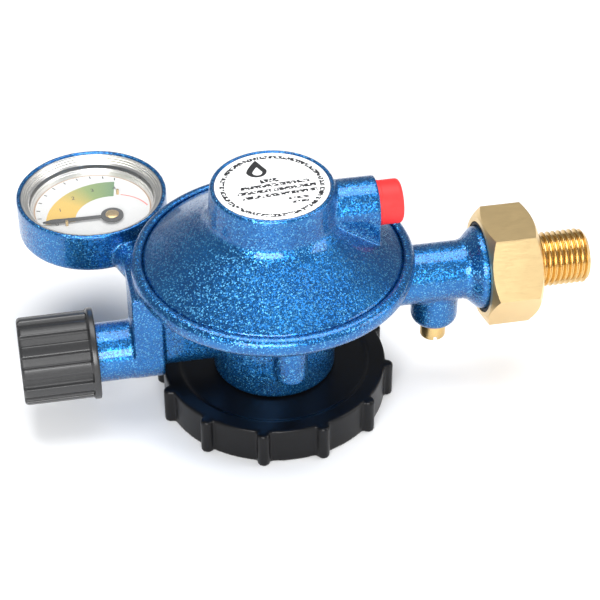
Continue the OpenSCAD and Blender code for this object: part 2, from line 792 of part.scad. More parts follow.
module knob_screw() {
    color([0.75, 0.76, 0.78]) at_valve() difference() {
        union() {
            rod_back(2.9, spindle_out_x + 0.02, spindle_out_x + 1.6);
            rod_back(0.9 - seated, spindle_out_x - 4.5, spindle_out_x + 0.1);
        }
        translate([-spindle_out_x - 2.4, -0.35, -4]) cube([1.7, 0.7, 8]);
    }
}

// ---- Hand wheel and inlet ----

module handwheel() {
    color([0.05, 0.05, 0.05]) {
        difference() {
            union() {
                rotate_extrude() polygon([[wheel_skirt_r - wheel_wall, wheel_z],
                    [wheel_skirt_r, wheel_z], [wheel_skirt_r, wheel_top_z - 0.6],
                    [wheel_skirt_r - 0.6, wheel_top_z], [wheel_step_r, wheel_top_z],
                    [wheel_step_r - 0.5, wheel_step_z], [0, wheel_step_z], [0, wheel_plate_z],
                    [wheel_skirt_r - wheel_wall, wheel_plate_z]]);
                wheel_grips();
                wheel_webs();
            }
            translate([0, 0, wheel_plate_z - 1])
                cylinder(r = bolt_af / 2 / cos(30), h = 4, $fn = 6);
        }
    }
}

module wheel_grips() {
    for (k = [0:wheel_ribs - 1]) rotate(360 * k / wheel_ribs - 105.3)
        translate([wheel_rib_c, 0, wheel_z]) {
            cylinder(r = wheel_rib_r, h = wheel_h - 0.5, $fn = 32);
            translate([0, 0, wheel_h - 0.5])
                cylinder(r1 = wheel_rib_r, r2 = wheel_rib_r - 0.5, h = 0.5, $fn = 32);
            translate([-2.4, -wheel_rib_r, 0]) cube([2.4, 2 * wheel_rib_r, wheel_h - 0.5]);
        }
}

// Stiffening webs under the wheel's plate, clear of the bottle valve's neck
module wheel_webs() {
    for (k = [0:5]) rotate(60 * k + 14.7)
        translate([15, -0.7, wheel_plate_z - 3]) cube([wheel_skirt_r - 15.5, 1.4, 3.5]);
}

// Hollow bolt that the wheel turns: the inlet thread, a hexagon in the wheel and a round head
module coupling_bolt() {
    color([0.72, 0.73, 0.74]) difference() {
        union() {
            cylinder(r = inlet_r, h = wheel_plate_z);
            translate([0, 0, wheel_plate_z])
                cylinder(r = bolt_af / 2 / cos(30), h = bolt_head_z - wheel_plate_z, $fn = 6);
            translate([0, 0, bolt_head_z]) cylinder(r = bolt_head_r, h = bolt_head_t);
        }
        translate([0, 0, -1]) cylinder(r = nipple_r + run - seated, h = 20);
        translate([0, 0, -1])
            cylinder(r = nipple_flange_r + gap, h = nipple_z + nipple_flange_t + 1.1);
    }
}

module coupling_washer() {
    color([0.9, 0.9, 0.88]) tube(bolt_head_r - 0.4, nipple_r, socket_z - 0.8, socket_z);
}

// Gas inlet that the bolt turns on, screwed into the body's neck
module inlet_nipple() {
    color([0.80, 0.65, 0.36]) difference() {
        union() {
            translate([0, 0, nipple_z]) cylinder(r = nipple_r - seated, h = nipple_top_z - nipple_z);
            translate([0, 0, nipple_z]) cylinder(r = nipple_flange_r, h = nipple_flange_t);
        }
        translate([0, 0, nipple_z - 1]) cylinder(r = nipple_way_r, h = 9);
        translate([0, 0, nipple_z]) cylinder(r = nipple_way_r - 1, h = nipple_top_z);
    }
}

module inlet_seal() {
    color([0.08, 0.08, 0.08]) tube(nipple_flange_r - 0.3, nipple_way_r, seal_z, nipple_z);
}

module inlet_filter() {
    color([0.62, 0.50, 0.30]) translate([0, 0, nipple_z + 6.2]) cylinder(r = nipple_way_r, h = 1.8);
}

// Pin that opens the bottle's valve, on a drilled disc pressed in the nipple
module opening_pin() {
    color([0.75, 0.76, 0.78]) difference() {
        union() {
            translate([0, 0, seal_z + 0.1]) cylinder(r = 1, h = 6);
            translate([0, 0, nipple_z + 4]) cylinder(r = nipple_way_r, h = 1.6);
        }
        for (k = [0:2]) rotate(120 * k) translate([2, 0, nipple_z + 3]) cylinder(r = 0.6, h = 4);
    }
}

// ---- Gauge ----

module gauge_ring() {
    color("silver") at_gauge() rotate_extrude() polygon([[dial_r + 0.9, ring_z],
        [ring_fit_r, ring_z], [ring_fit_r, ring_z + ring_h], [cup_bore_r - 0.7, ring_z + ring_h],
        [cup_bore_r - 1.2, ring_z + ring_h - 0.9], [dial_r + 1.3, ring_z + ring_h - 0.9]]);
}

module gauge_lens() {
    color([0.85, 0.92, 0.95, 0.35]) at_gauge() translate([0, 0, lens_z])
        cylinder(r = ring_fit_r, h = lens_t);
}

module gauge_spacer() {
    color("silver") at_gauge() rotate_extrude() polygon([[dial_r, dial_top_z],
        [ring_fit_r, dial_top_z], [ring_fit_r, lens_z], [dial_r + 0.6, lens_z],
        [dial_r + 0.4, dial_top_z + 0.6]]);
}

module gauge_dial() {
    color("white") difference() {
        at_gauge() translate([0, 0, dial_z]) cylinder(r = ring_fit_r, h = dial_t);
        at_pivot() translate([0, 0, dial_z - 1]) cylinder(r = 1, h = 3);
    }
}

// Zero pin beside the resting pointer and full-scale pin at the end of its sweep
module stop_pins() {
    color([0.80, 0.65, 0.36]) for (stop = [[185.4, 11.2], [174.5 - pointer_sweep, 10]])
        at_pivot() rotate(stop[0]) translate([stop[1], 0, dial_top_z])
            cylinder(r = 0.35, h = 1.3, $fn = 24);
}

module gauge_pointer() {
    color([0.1, 0.1, 0.1]) at_pivot() translate([0, 0, pointer_z]) difference() {
        union() {
            cylinder(r = hub_r, h = rivet_z - pointer_z);
            rotate(180) linear_extrude(pointer_t)
                polygon([[0, -0.75], [pointer_l - 4, -0.55], [pointer_l, -0.08], [pointer_l, 0.08],
                    [pointer_l - 4, 0.55], [0, 0.75]]);
        }
        translate([0, 0, -1]) cylinder(r = arbor_r, h = 3);
    }
}

// Spindle of the pointer, with its pinion below the dial and a brass rivet on top
module pointer_arbor() {
    color([0.80, 0.65, 0.36]) at_pivot() {
        translate([0, 0, cup_floor_z + 0.55]) cylinder(r = arbor_r, h = rivet_z - cup_floor_z - 0.5);
        translate([0, 0, gear_z]) cylinder(r = pinion_r, h = gear_t);
        translate([0, 0, rivet_z]) cylinder(r = 1.65, h = 0.25);
    }
}

module movement_plate() {
    color([0.80, 0.65, 0.36]) difference() {
        hull() {
            at_pivot() translate([0, 0, cup_floor_z]) cylinder(r = 2.4, h = 0.5, $fn = 32);
            at_sector() translate([0, 0, cup_floor_z]) cylinder(r = 2.4, h = 0.5, $fn = 32);
        }
    }
    color([0.80, 0.65, 0.36]) at_sector() translate([0, 0, cup_floor_z + 0.4]) cylinder(r = 0.5, h = 2.6);
}

// Toothed sector that turns the pinion, with a tail that the link pulls
module sector_gear() {
    color([0.80, 0.65, 0.36]) at_sector() translate([0, 0, gear_z]) rotate(180) {
        difference() {
            union() {
                cylinder(r = 1.5, h = gear_t);
                intersection() {
                    cylinder(r = sector_r, h = gear_t);
                    linear_extrude(gear_t) polygon([[0, 0], [10, -4.6], [10, 4.6]]);
                }
                translate([-sector_tail, -0.8, 0]) cube([sector_tail, 1.6, gear_t]);
                translate([-sector_tail, 0, 0]) cylinder(r = 0.9, h = gear_t);
                translate([-sector_tail, 0, 0]) cylinder(r = 0.4, h = gear_t + 0.8);
            }
            translate([0, 0, -1]) cylinder(r = 0.5 + run, h = 3);
        }
    }
}

// Link from the sector's tail towards the tube's tip
module gauge_link() {
    color([0.80, 0.65, 0.36]) at_sector() rotate(180)
        translate([-sector_tail, 0, gear_z + gear_t + 0.1]) difference() {
            union() {
                cylinder(r = 0.9, h = 0.5);
                translate([-4.4, -0.5, 0]) cube([4.4, 1, 0.5]);
            }
            translate([0, 0, -1]) cylinder(r = 0.4 + run, h = 3);
        }
}

// Bent pressure tube, open between its socket and its free tip
module bourdon_tube() {
    color([0.78, 0.55, 0.36]) at_socket() translate([0, 0, tube_z]) rotate(tube_start)
        rotate_extrude(angle = tube_sweep) translate([tube_r - tube_t / 2, 0]) square([tube_t, tube_h]);
}

module bourdon_socket() {
    color([0.80, 0.65, 0.36]) at_socket() difference() {
        translate([tube_r - 2.6, -3.2, cup_floor_z]) cube([4, 6.4, 3.2]);
        rotate(tube_start) translate([0, 0, tube_z]) rotate_extrude(angle = 40)
            translate([tube_r - tube_t / 2, 0]) square([tube_t, tube_h]);
    }
}

lower_housing();
bonnet();
tower_cap();
label_disc();
adjusting_screw();
main_spring();
diaphragm();
diaphragm_plate();
diaphragm_stem();
stem_nut();
relief_spring();
lever();
lever_pin();
inlet_nozzle();
pad_holder();
seat_pad();
vent_cap();
vent_screen();
outlet_connector();
outlet_wiper_ring();
outlet_snap_ring();
outlet_o_ring();
test_screw();
test_washer();
shutoff_knob();
shutoff_spindle();
spindle_o_ring();
spindle_gland();
shutoff_pad();
knob_screw();
handwheel();
coupling_bolt();
coupling_washer();
inlet_nipple();
inlet_seal();
inlet_filter();
opening_pin();
gauge_ring();
gauge_lens();
gauge_spacer();
gauge_dial();
stop_pins();
gauge_pointer();
pointer_arbor();
movement_plate();
sector_gear();
gauge_link();
bourdon_tube();
bourdon_socket();
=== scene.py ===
# %% [markdown]
# # A low-pressure gas regulator, dressed for its portrait
#
# The mechanical model of this regulator already exists: a round die-cast casing, a hand wheel
# under it, a contents gauge, a shut-off knob and a brass outlet. Its solids are exact, but they
# come in as plain facets. In this lesson we load them as a fixed frame, build smooth and rounded
# pieces over the ones that are seen, and give every piece a finish made of shader nodes.

# %% Load the frame
import math

import bmesh
import bpy
from mathutils import Matrix, Vector


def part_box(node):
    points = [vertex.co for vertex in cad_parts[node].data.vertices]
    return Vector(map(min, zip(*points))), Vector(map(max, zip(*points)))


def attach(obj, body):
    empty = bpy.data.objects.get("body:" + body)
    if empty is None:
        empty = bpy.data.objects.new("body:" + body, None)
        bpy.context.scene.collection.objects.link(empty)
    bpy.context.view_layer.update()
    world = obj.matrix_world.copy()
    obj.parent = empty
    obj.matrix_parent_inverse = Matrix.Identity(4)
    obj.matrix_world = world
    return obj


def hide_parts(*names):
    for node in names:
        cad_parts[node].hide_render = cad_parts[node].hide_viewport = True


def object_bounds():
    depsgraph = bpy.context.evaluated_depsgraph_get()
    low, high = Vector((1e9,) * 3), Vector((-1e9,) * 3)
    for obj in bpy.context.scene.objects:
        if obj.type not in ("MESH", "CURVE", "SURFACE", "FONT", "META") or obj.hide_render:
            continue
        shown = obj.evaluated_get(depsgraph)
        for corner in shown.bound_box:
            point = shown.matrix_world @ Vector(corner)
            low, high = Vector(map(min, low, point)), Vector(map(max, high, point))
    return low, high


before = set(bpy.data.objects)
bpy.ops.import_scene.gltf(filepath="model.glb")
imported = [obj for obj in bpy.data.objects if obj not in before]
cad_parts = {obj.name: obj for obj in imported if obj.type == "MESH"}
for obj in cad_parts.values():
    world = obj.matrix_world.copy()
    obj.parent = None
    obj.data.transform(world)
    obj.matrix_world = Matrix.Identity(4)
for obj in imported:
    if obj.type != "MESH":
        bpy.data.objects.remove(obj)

cad_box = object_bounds()

# %% [markdown]
# The frame is in metres, but a regulator is easier to think about in millimetres. Every piece is
# therefore modelled in millimetres and scaled once, when it is finished. The places come from
# the boxes of the frame's own nodes, so a piece always lands where the mechanism needs it.

# %% Places in millimetres
MM = 0.001


def box_mm(node):
    """The lowest and highest corner of a node of the frame, in millimetres."""
    low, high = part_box(node)
    return low / MM, high / MM


def middle(node):
    low, high = box_mm(node)
    return (low + high) / 2


tower_top = box_mm("bonnet")[1].z
label_low, label_high = box_mm("label_disc")
wheel_low, wheel_high = box_mm("handwheel")
knob_low, knob_high = box_mm("shutoff_knob")
vent_low, vent_high = box_mm("vent_cap")
hex_low, hex_high = box_mm("outlet_connector")
gauge = middle("gauge_lens")
pivot = middle("pointer_arbor")
valve_z = middle("shutoff_knob").z
outlet_z = middle("outlet_wiper_ring").z
vent_z = middle("vent_cap").z
test_x = middle("test_screw").x
print(f"gauge at {gauge.x:.1f}, {gauge.y:.1f}; valve axis {valve_z:.1f}; outlet axis {outlet_z:.1f}")

# %% [markdown]
# ## The workbench
#
# Most pieces of a regulator are turned on a lathe or cast in a mould, and both start from a
# section. So the main helper takes a section as corners, each with a rounding, bevels the
# corners as a file would, and spins the line round an axis. A second helper makes plain bars and
# blocks, and a third joins or cuts two closed shapes with a Boolean modifier.


# %% Shapes from sections
def oriented(axis):
    """The turn that lays the lathe's axis, Z, along X or leaves it upright."""
    return Matrix.Rotation(math.radians(90), 4, "Y") if axis == "X" else Matrix.Identity(4)


def as_object(bm, name):
    mesh = bpy.data.meshes.new(name)
    bm.to_mesh(mesh)
    bm.free()
    made = bpy.data.objects.new(name, mesh)
    bpy.context.scene.collection.objects.link(made)
    return made


def turned(name, section, axis="Z", place=(0, 0, 0), steps=128):
    """Spins a section of (radius, height[, rounding]) corners into a closed shape."""
    bm = bmesh.new()
    corners = [bm.verts.new((corner[0], 0, corner[1])) for corner in section]
    for pair in zip(corners, corners[1:]):
        bm.edges.new(pair)
    if min(corner[0] for corner in section) > 0:
        bm.edges.new((corners[-1], corners[0]))
    rounds = {}
    for corner, vert in zip(section, corners):
        if len(corner) > 2:
            rounds.setdefault(corner[2], []).append(vert)
    for offset, verts in rounds.items():
        bmesh.ops.bevel(bm, geom=verts, offset=offset, segments=5, profile=0.5,
                        affect="VERTICES", material=-1)
    bmesh.ops.spin(bm, geom=bm.verts[:] + bm.edges[:], cent=(0, 0, 0), axis=(0, 0, 1),
                   angle=math.tau, steps=steps, use_merge=True)
    bmesh.ops.remove_doubles(bm, verts=bm.verts, dist=1e-4)
    bmesh.ops.recalc_face_normals(bm, faces=bm.faces)
    bmesh.ops.transform(bm, matrix=Matrix.Translation(place) @ oriented(axis), verts=bm.verts)
    return as_object(bm, name)


def bar(radius, start, end, sides=96, end_radius=None, turn=0):
    """A round or many-sided bar between two points."""
    start, end = Vector(start), Vector(end)
    along = end - start
    bm = bmesh.new()
    bmesh.ops.create_cone(bm, cap_ends=True, segments=sides, radius1=radius,
                          radius2=radius if end_radius is None else end_radius,
                          depth=along.length)
    aim = along.to_track_quat("Z", "Y").to_matrix().to_4x4()
    place = Matrix.Translation((start + end) / 2) @ aim @ Matrix.Rotation(turn, 4, "Z")
    bmesh.ops.transform(bm, matrix=place, verts=bm.verts)
    return as_object(bm, "bar")


def block(low, high, turn=0, about=(0, 0, 0)):
    """A block between two corners, turned about an upright line if it has to be."""
    low, high = Vector(low), Vector(high)
    bm = bmesh.new()
    bmesh.ops.create_cube(bm, size=1)
    bmesh.ops.scale(bm, vec=high - low, verts=bm.verts)
    bmesh.ops.translate(bm, vec=(low + high) / 2, verts=bm.verts)
    bmesh.ops.rotate(bm, cent=about, matrix=Matrix.Rotation(turn, 3, "Z"), verts=bm.verts)
    return as_object(bm, "block")


print("turned, bar and block are ready")


# %% Joining, cutting and casting
def settle(piece):
    """Applies a piece's modifiers, so that what is seen is what the mesh holds."""
    depsgraph = bpy.context.evaluated_depsgraph_get()
    mesh = bpy.data.meshes.new_from_object(piece.evaluated_get(depsgraph))
    piece.modifiers.clear()
    piece.data = mesh
    return piece


def combine(piece, tools, operation):
    """Joins closed shapes to a piece ("UNION"), cuts them from it, or keeps what they share."""
    for tool in tools:
        modifier = piece.modifiers.new("combine", "BOOLEAN")
        modifier.object = tool
        modifier.operation = operation
        modifier.solver = "MANIFOLD"
        settle(piece)
        bpy.data.objects.remove(tool)
    return piece


def cast(piece, grain, softness):
    """Gives a piece the soft corners of a mould: an even skin of small faces, then smoothed."""
    remesh = piece.modifiers.new("skin", "REMESH")
    remesh.mode = "VOXEL"
    remesh.voxel_size = grain
    smooth = piece.modifiers.new("soften", "SMOOTH")
    smooth.factor = 0.5
    smooth.iterations = softness
    return settle(piece)


def finish_piece(piece, name, body, material, nodes=(), sharp=None):
    """Scales a piece to metres, shades it smooth, and hands it to the frame."""
    piece.name = piece.data.name = name
    piece.data.transform(Matrix.Scale(MM, 4))
    piece.data.polygons.foreach_set("use_smooth", [True] * len(piece.data.polygons))
    if sharp:
        piece.data.set_sharp_from_angle(angle=math.radians(sharp))
    piece.data.materials.clear()
    piece.data.materials.append(material)
    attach(piece, body)
    if nodes:
        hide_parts(*nodes)
    print(f"{name}: {sum(len(p.vertices) - 2 for p in piece.data.polygons)} triangles")
    return piece


# %% [markdown]
# ## Writing finishes as sums
#
# A shader is arithmetic on the surface's position. To keep it readable, one small class wraps a
# node's output and gives it the usual operators, so that `1 - mask` adds a Math node. Every
# other node comes from `Finish.node`, which takes the node's type, its settings and its inputs.


# %% Values and finishes
class Value:
    """A number that varies over the surface. Arithmetic on it adds Math nodes."""

    def __init__(self, finish, socket):
        self.finish, self.socket = finish, socket

    def maths(self, operation, *terms):
        inputs = dict(enumerate(terms))
        node = self.finish.node("ShaderNodeMath", {"operation": operation}, inputs)
        return Value(self.finish, node.outputs[0])

    def __add__(self, other): return self.maths("ADD", self, other)
    def __radd__(self, other): return self.maths("ADD", other, self)
    def __sub__(self, other): return self.maths("SUBTRACT", self, other)
    def __rsub__(self, other): return self.maths("SUBTRACT", other, self)
    def __mul__(self, other): return self.maths("MULTIPLY", self, other)
    def __rmul__(self, other): return self.maths("MULTIPLY", other, self)
    def __truediv__(self, other): return self.maths("DIVIDE", self, other)
    def __pow__(self, other): return self.maths("POWER", self, other)
    def __gt__(self, other): return self.maths("GREATER_THAN", self, other)
    def __lt__(self, other): return self.maths("LESS_THAN", self, other)

    def between(self, low, high):
        return (self > low) * (self < high)


class Finish:
    """A material under construction, with the position in millimetres at hand."""

    def __init__(self, name):
        self.material = bpy.data.materials.new(name)
        self.material.use_nodes = True
        self.tree = self.material.node_tree
        self.shader = self.tree.nodes["Principled BSDF"]
        coordinates = self.node("ShaderNodeTexCoord")
        self.place = self.vector("SCALE", coordinates.outputs["Object"], Scale=1 / MM)

    def node(self, kind, settings=None, inputs=None):
        made = self.tree.nodes.new(kind)
        for key, value in (settings or {}).items():
            if key == "stops":
                ramp = made.color_ramp.elements
                while len(ramp) < len(value):
                    ramp.new(0.5)
                for stop, (position, colour) in zip(ramp, value):
                    stop.position, stop.color = position, (*colour, 1)
            else:
                setattr(made, key, value)
        for key, value in (inputs or {}).items():
            self.feed(made.inputs[key], value)
        return made

    def feed(self, socket, value):
        value = value.socket if isinstance(value, Value) else value
        if isinstance(value, bpy.types.NodeSocket):
            self.tree.links.new(value, socket)
        else:
            socket.default_value = value

    def vector(self, operation, *terms, **named):
        inputs = {**dict(enumerate(terms)), **named}
        made = self.node("ShaderNodeVectorMath", {"operation": operation}, inputs)
        measure = {"LENGTH": "Value", "DISTANCE": "Value", "DOT_PRODUCT": "Value"}
        return made.outputs[measure.get(operation, "Vector")]

    def axes(self, centre=(0, 0, 0), stretch=(1, 1, 1)):
        """The three coordinates about a centre, in millimetres."""
        moved = self.vector("SUBTRACT", self.place, tuple(centre))
        split = self.node("ShaderNodeSeparateXYZ",
                          inputs={0: self.vector("MULTIPLY", moved, stretch)})
        return [Value(self, output) for output in split.outputs]

    def noise(self, size, detail=2.0, stretch=(1, 1, 1), vector=None):
        """Soft noise whose lumps are about size millimetres across."""
        source = self.vector("MULTIPLY", vector or self.place, stretch)
        made = self.node("ShaderNodeTexNoise", inputs={
            "Vector": source, "Scale": 1 / size, "Detail": detail, "Roughness": 0.55})
        return Value(self, made.outputs[0])

    def ramp(self, value, *stops):
        made = self.node("ShaderNodeValToRGB", {"stops": stops}, {0: value})
        return made.outputs[0]

    def blend(self, factor, first, second):
        """The first colour where the factor is 0, and the second where it is 1."""
        first, second = ((*c, 1) if isinstance(c, tuple) else c for c in (first, second))
        made = self.node("ShaderNodeMix", {"data_type": "RGBA"}, {0: factor, 6: first, 7: second})
        return made.outputs[2]

    def bump(self, height, depth, normal=None):
        """Relief whose full height is depth millimetres."""
        inputs = {"Height": height, "Distance": depth * MM, "Strength": 1.0}
        if normal:
            inputs["Normal"] = normal
        return self.node("ShaderNodeBump", inputs=inputs).outputs[0]

    def done(self, **sockets):
        names = {"colour": "Base Color", "rough": "Roughness", "metal": "Metallic",
                 "coat": "Coat Weight", "coat_rough": "Coat Roughness", "normal": "Normal",
                 "alpha": "Alpha", "shine": "Specular IOR Level"}
        for key, value in sockets.items():
            value = (*value, 1) if isinstance(value, tuple) else value
            self.feed(self.shader.inputs[names[key]], value)
        return self.material


print("finishes can be written as sums")

# %% [markdown]
# ## Flake paint
#
# The casing has a blue hammered-looking paint full of metal flakes. Each flake is a tiny mirror
# that lies a little askew, so it flashes only where it happens to face a lamp. A Voronoi
# pattern splits the surface in cells a quarter of a millimetre wide, and its random colour per
# cell serves twice: it tilts the normal, and it makes a few flakes paler than the lacquer. The
# paler flakes are painted glints, bright whichever way they face.
# A clear coat with the untilted normal lies on top.


# %% Flake paint
def flake_paint():
    f = Finish("blue_flake_paint")
    cells = f.node("ShaderNodeTexVoronoi", inputs={"Vector": f.place, "Scale": 1 / 0.25})
    chance = f.node("ShaderNodeSeparateXYZ", inputs={0: cells.outputs["Color"]})
    pick = Value(f, chance.outputs[0])
    cloud = f.noise(9.0)
    lacquer = f.ramp(cloud, (0.35, (0.006, 0.095, 0.30)), (0.65, (0.009, 0.125, 0.36)))
    # painted glints: about one cell in seven gets a paler colour, bright whichever way it faces
    colour = f.blend((pick > 0.86) * 0.6, lacquer, (0.12, 0.44, 0.72))
    tilt = f.vector("SCALE", f.vector("SUBTRACT", cells.outputs["Color"], (0.5, 0.5, 0.5)),
                    Scale=0.40)
    peel = f.bump(f.noise(1.3), 0.010)
    normal = f.vector("NORMALIZE", f.vector("ADD", peel, tilt))
    return f.done(colour=colour, metal=0.85, rough=0.24 + 0.14 * pick, normal=normal,
                  coat=0.5, coat_rough=0.10)


paint = flake_paint()
print(paint.name)

# %% [markdown]
# ## Moulded plastics
#
# The hand wheel is glossy black plastic that is slightly uneven from the mould. The knob is
# duller, with a spark-eroded grain in its grooves while its ribs are polished by fingers. The
# mask for that is simply the distance from the knob's axis.


# %% Plastics and rubber
def glossy_plastic(name, colour, rough, lump, shine=0.5):
    f = Finish(name)
    cloud = f.noise(lump, 3.0)
    shade = f.blend(cloud, colour, tuple(1.5 * c + 0.001 for c in colour))
    fine = f.noise(0.5, 2.0)
    return f.done(colour=shade, rough=rough + 0.16 * cloud, normal=f.bump(fine, 0.008),
                  shine=shine)


def grained_plastic(name, axis_place, smooth_from):
    f = Finish(name)
    _, y, z = f.axes(axis_place)
    radius = (y * y + z * z) ** 0.5
    worn = radius > smooth_from
    grain = f.noise(0.32, 2.5)
    colour = f.blend(grain, (0.007, 0.007, 0.0075), (0.03, 0.03, 0.031))
    height = grain * (1 - 0.85 * worn)
    return f.done(colour=colour, rough=0.50 - 0.20 * worn, normal=f.bump(height, 0.06))


def rubber(name):
    f = Finish(name)
    colour = (0.018, 0.018, 0.019)
    cloud = f.noise(1.2, 4.0)
    shade = f.blend(cloud, colour, tuple(1.8 * c for c in colour))
    return f.done(colour=shade, rough=0.62 + 0.2 * cloud, normal=f.bump(cloud, 0.02))


wheel_plastic = glossy_plastic("wheel_black_plastic", (0.002, 0.002, 0.0025), 0.26, 7.0, 0.22)
knob_plastic = grained_plastic("knob_black_plastic", (0, 0, valve_z), 10.05)
cap_red = glossy_plastic("cap_red_plastic", (0.62, 0.020, 0.020), 0.42, 2.5, 0.35)
white_plastic = glossy_plastic("white_plastic", (0.70, 0.70, 0.66), 0.40, 2.0)
black_rubber = rubber("black_rubber")
print("plastics:", wheel_plastic.name, knob_plastic.name, cap_red.name)

# %% [markdown]
# ## Metals
#
# One recipe serves all the bare metals: a base colour that drifts a little, and fine tool marks
# from noise that is stretched along the way the tool went. Round work gets its marks from
# noise on the radius instead, so that they run round the axis.


# %% Metals
def tooled_metal(name, colour, rough, marks=(1, 1, 1), size=0.25, depth=0.006, drift=0.18):
    """Metal with marks that are longest along the axis whose share in marks is smallest."""
    f = Finish(name)
    streak = f.noise(size, 3.0, marks)
    cloud = f.noise(4.0)
    darker = tuple(c * (1 - drift) for c in colour)
    shade = f.blend(0.5 * streak + 0.5 * cloud, darker, colour)
    return f.done(colour=shade, metal=1.0, rough=rough - 0.06 + 0.14 * streak,
                  normal=f.bump(streak, depth))


def lathe_metal(name, colour, rough, centre, depth=0.02, size=0.22):
    """Metal turned about an upright axis, with rings of tool marks."""
    f = Finish(name)
    x, y, z = f.axes(centre)
    rings = f.node("ShaderNodeCombineXYZ", inputs={0: (x * x + y * y) ** 0.5, 2: z})
    marks = f.noise(size, 3.0, vector=rings.outputs[0])
    cloud = f.noise(3.0)
    shade = f.blend(0.6 * marks + 0.4 * cloud, tuple(0.72 * c for c in colour), colour)
    return f.done(colour=shade, metal=1.0, rough=rough + 0.16 * marks,
                  normal=f.bump(marks, depth))


brass_hex = tooled_metal("satin_brass", (0.90, 0.66, 0.33), 0.34, (0.12, 1, 1), 0.30, 0.010)
brass_thread = tooled_metal("cut_brass", (0.76, 0.50, 0.19), 0.22, (1, 0.2, 0.2), 0.35, 0.004)
brass_plain = tooled_metal("turned_brass", (0.80, 0.56, 0.24), 0.28)
steel = tooled_metal("zinc_plated_steel", (0.62, 0.63, 0.65), 0.32)
spring_steel = tooled_metal("spring_steel", (0.42, 0.42, 0.44), 0.30)
copper = tooled_metal("copper_washer", (0.80, 0.42, 0.27), 0.35)
bronze = tooled_metal("tube_bronze", (0.70, 0.43, 0.20), 0.33)
mesh_bronze = tooled_metal("sintered_bronze", (0.42, 0.30, 0.15), 0.60, size=0.12, depth=0.05)
bezel_metal = lathe_metal("turned_aluminium", (0.86, 0.84, 0.80), 0.24, gauge)
print("metals:", brass_hex.name, brass_thread.name, steel.name, bezel_metal.name)

# %% [markdown]
# ## Printed faces
#
# The dial is printed on white card: a band that goes from yellow (little gas left) to green,
# with divisions outside it. All of it is polar about the pointer's pivot, so the angle and the
# radius are worked out first and each mark is a product of two or three masks. The label is
# white foil. Its small print is suggested by broken bars, since nothing on it has to be read.

# %% Dial print, with painted shade at its rim
BAND_FROM, BAND_TO = math.radians(82), math.radians(181)
DIVISIONS = 10


def dial_print_and_rim_shade():
    f = Finish("dial_print_and_rim_shade")
    x, y, _ = f.axes(pivot)
    u, v, _ = f.axes(gauge)
    radius = (x * x + y * y) ** 0.5
    rim = (u * u + v * v) ** 0.5
    angle = y.maths("ARCTAN2", y, x)
    turn = (angle - BAND_FROM) / (BAND_TO - BAND_FROM)
    in_sweep = turn.between(0.0, 1.0)
    band = in_sweep * (radius > 9.0) * (radius < 15.2 + 1.0 * turn)
    step = (turn * DIVISIONS).maths("PINGPONG", turn * DIVISIONS, 0.5)
    ticks = turn.between(-0.02, 1.02) * rim.between(12.8, 13.75) * (step * radius < 0.9)
    arc = angle.between(math.radians(22), math.radians(72)) * radius.between(9.6, 9.9)
    paper = f.blend(f.noise(3.0), (0.60, 0.60, 0.59), (0.66, 0.66, 0.655))
    tone = f.ramp(turn, (0.0, (0.09, 0.20, 0.08)), (0.30, (0.20, 0.28, 0.07)),
                  (0.62, (0.62, 0.40, 0.06)), (1.0, (0.66, 0.40, 0.05)))
    colour = f.blend(band, paper, tone)
    colour = f.blend(ticks, colour, (0.03, 0.03, 0.03))
    colour = f.blend(arc, colour, (0.75, 0.10, 0.08))
    # painted shade: a brown ring round the card's edge, where it meets the window ring
    colour = f.blend(rim > 14.05, colour, (0.36, 0.22, 0.12))
    return f.done(colour=colour, rough=0.42 + 0.1 * f.noise(0.4))


# %% Label print
LABEL_TILT = math.radians(3.4)
# middle of a row along it, its height on the label, half its length, and its thickness
ROWS = ((-0.2, 2.1, 2.1, 1.5), (0.7, 0.3, 8.0, 1.15), (0.7, -1.6, 9.1, 1.15),
        (1.0, -3.5, 8.7, 1.15), (4.9, -5.7, 2.4, 0.85), (5.1, -7.2, 2.2, 0.85))


def label_print():
    f = Finish("label")
    moved = f.node("ShaderNodeMapping", inputs={
        "Vector": f.place, "Rotation": (0, 0, -LABEL_TILT)})
    split = f.node("ShaderNodeSeparateXYZ", inputs={0: moved.outputs[0]})
    x, y, z = (Value(f, output) for output in split.outputs)
    radius = (x * x + y * y) ** 0.5
    angle = y.maths("ARCTAN2", y, x)
    letters = f.node("ShaderNodeCombineXYZ", inputs={0: x * 1.35, 1: y * 1.1})
    broken = f.noise(1.0, 1.0, vector=letters.outputs[0]) > 0.46
    around = f.node("ShaderNodeCombineXYZ", inputs={0: angle * 17.0, 1: radius * 0.9})
    ring_words = f.noise(1.0, 1.0, vector=around.outputs[0]) > 0.46
    ink = radius.between(10.8, 11.9) * ring_words
    for along, height, half, thick in ROWS:
        row = y.between(height - thick / 2, height + thick / 2) * x.between(along - half, along + half)
        ink = ink + row * broken
    paper = f.blend(f.noise(4.0), (0.88, 0.88, 0.88), (0.94, 0.94, 0.94))
    colour = f.blend(ink.maths("MINIMUM", ink, 1.0), paper, (0.012, 0.012, 0.014))
    return f.done(colour=colour, rough=0.38 + 0.12 * f.noise(0.6))


dial_face = dial_print_and_rim_shade()
label_face = label_print()
print("prints:", dial_face.name, label_face.name)

# %% [markdown]
# ## The clear window
#
# The window over the dial is thin clear plastic. Real glass would darken what is behind it
# unless light is traced through it at great cost, so the window is mostly transparent by its
# alpha, with a faint milky haze, and keeps a sharp gloss. Where it is seen edge on its whitish
# colour shows more: a painted reflection in place of the glare clear plastic has at a slant.


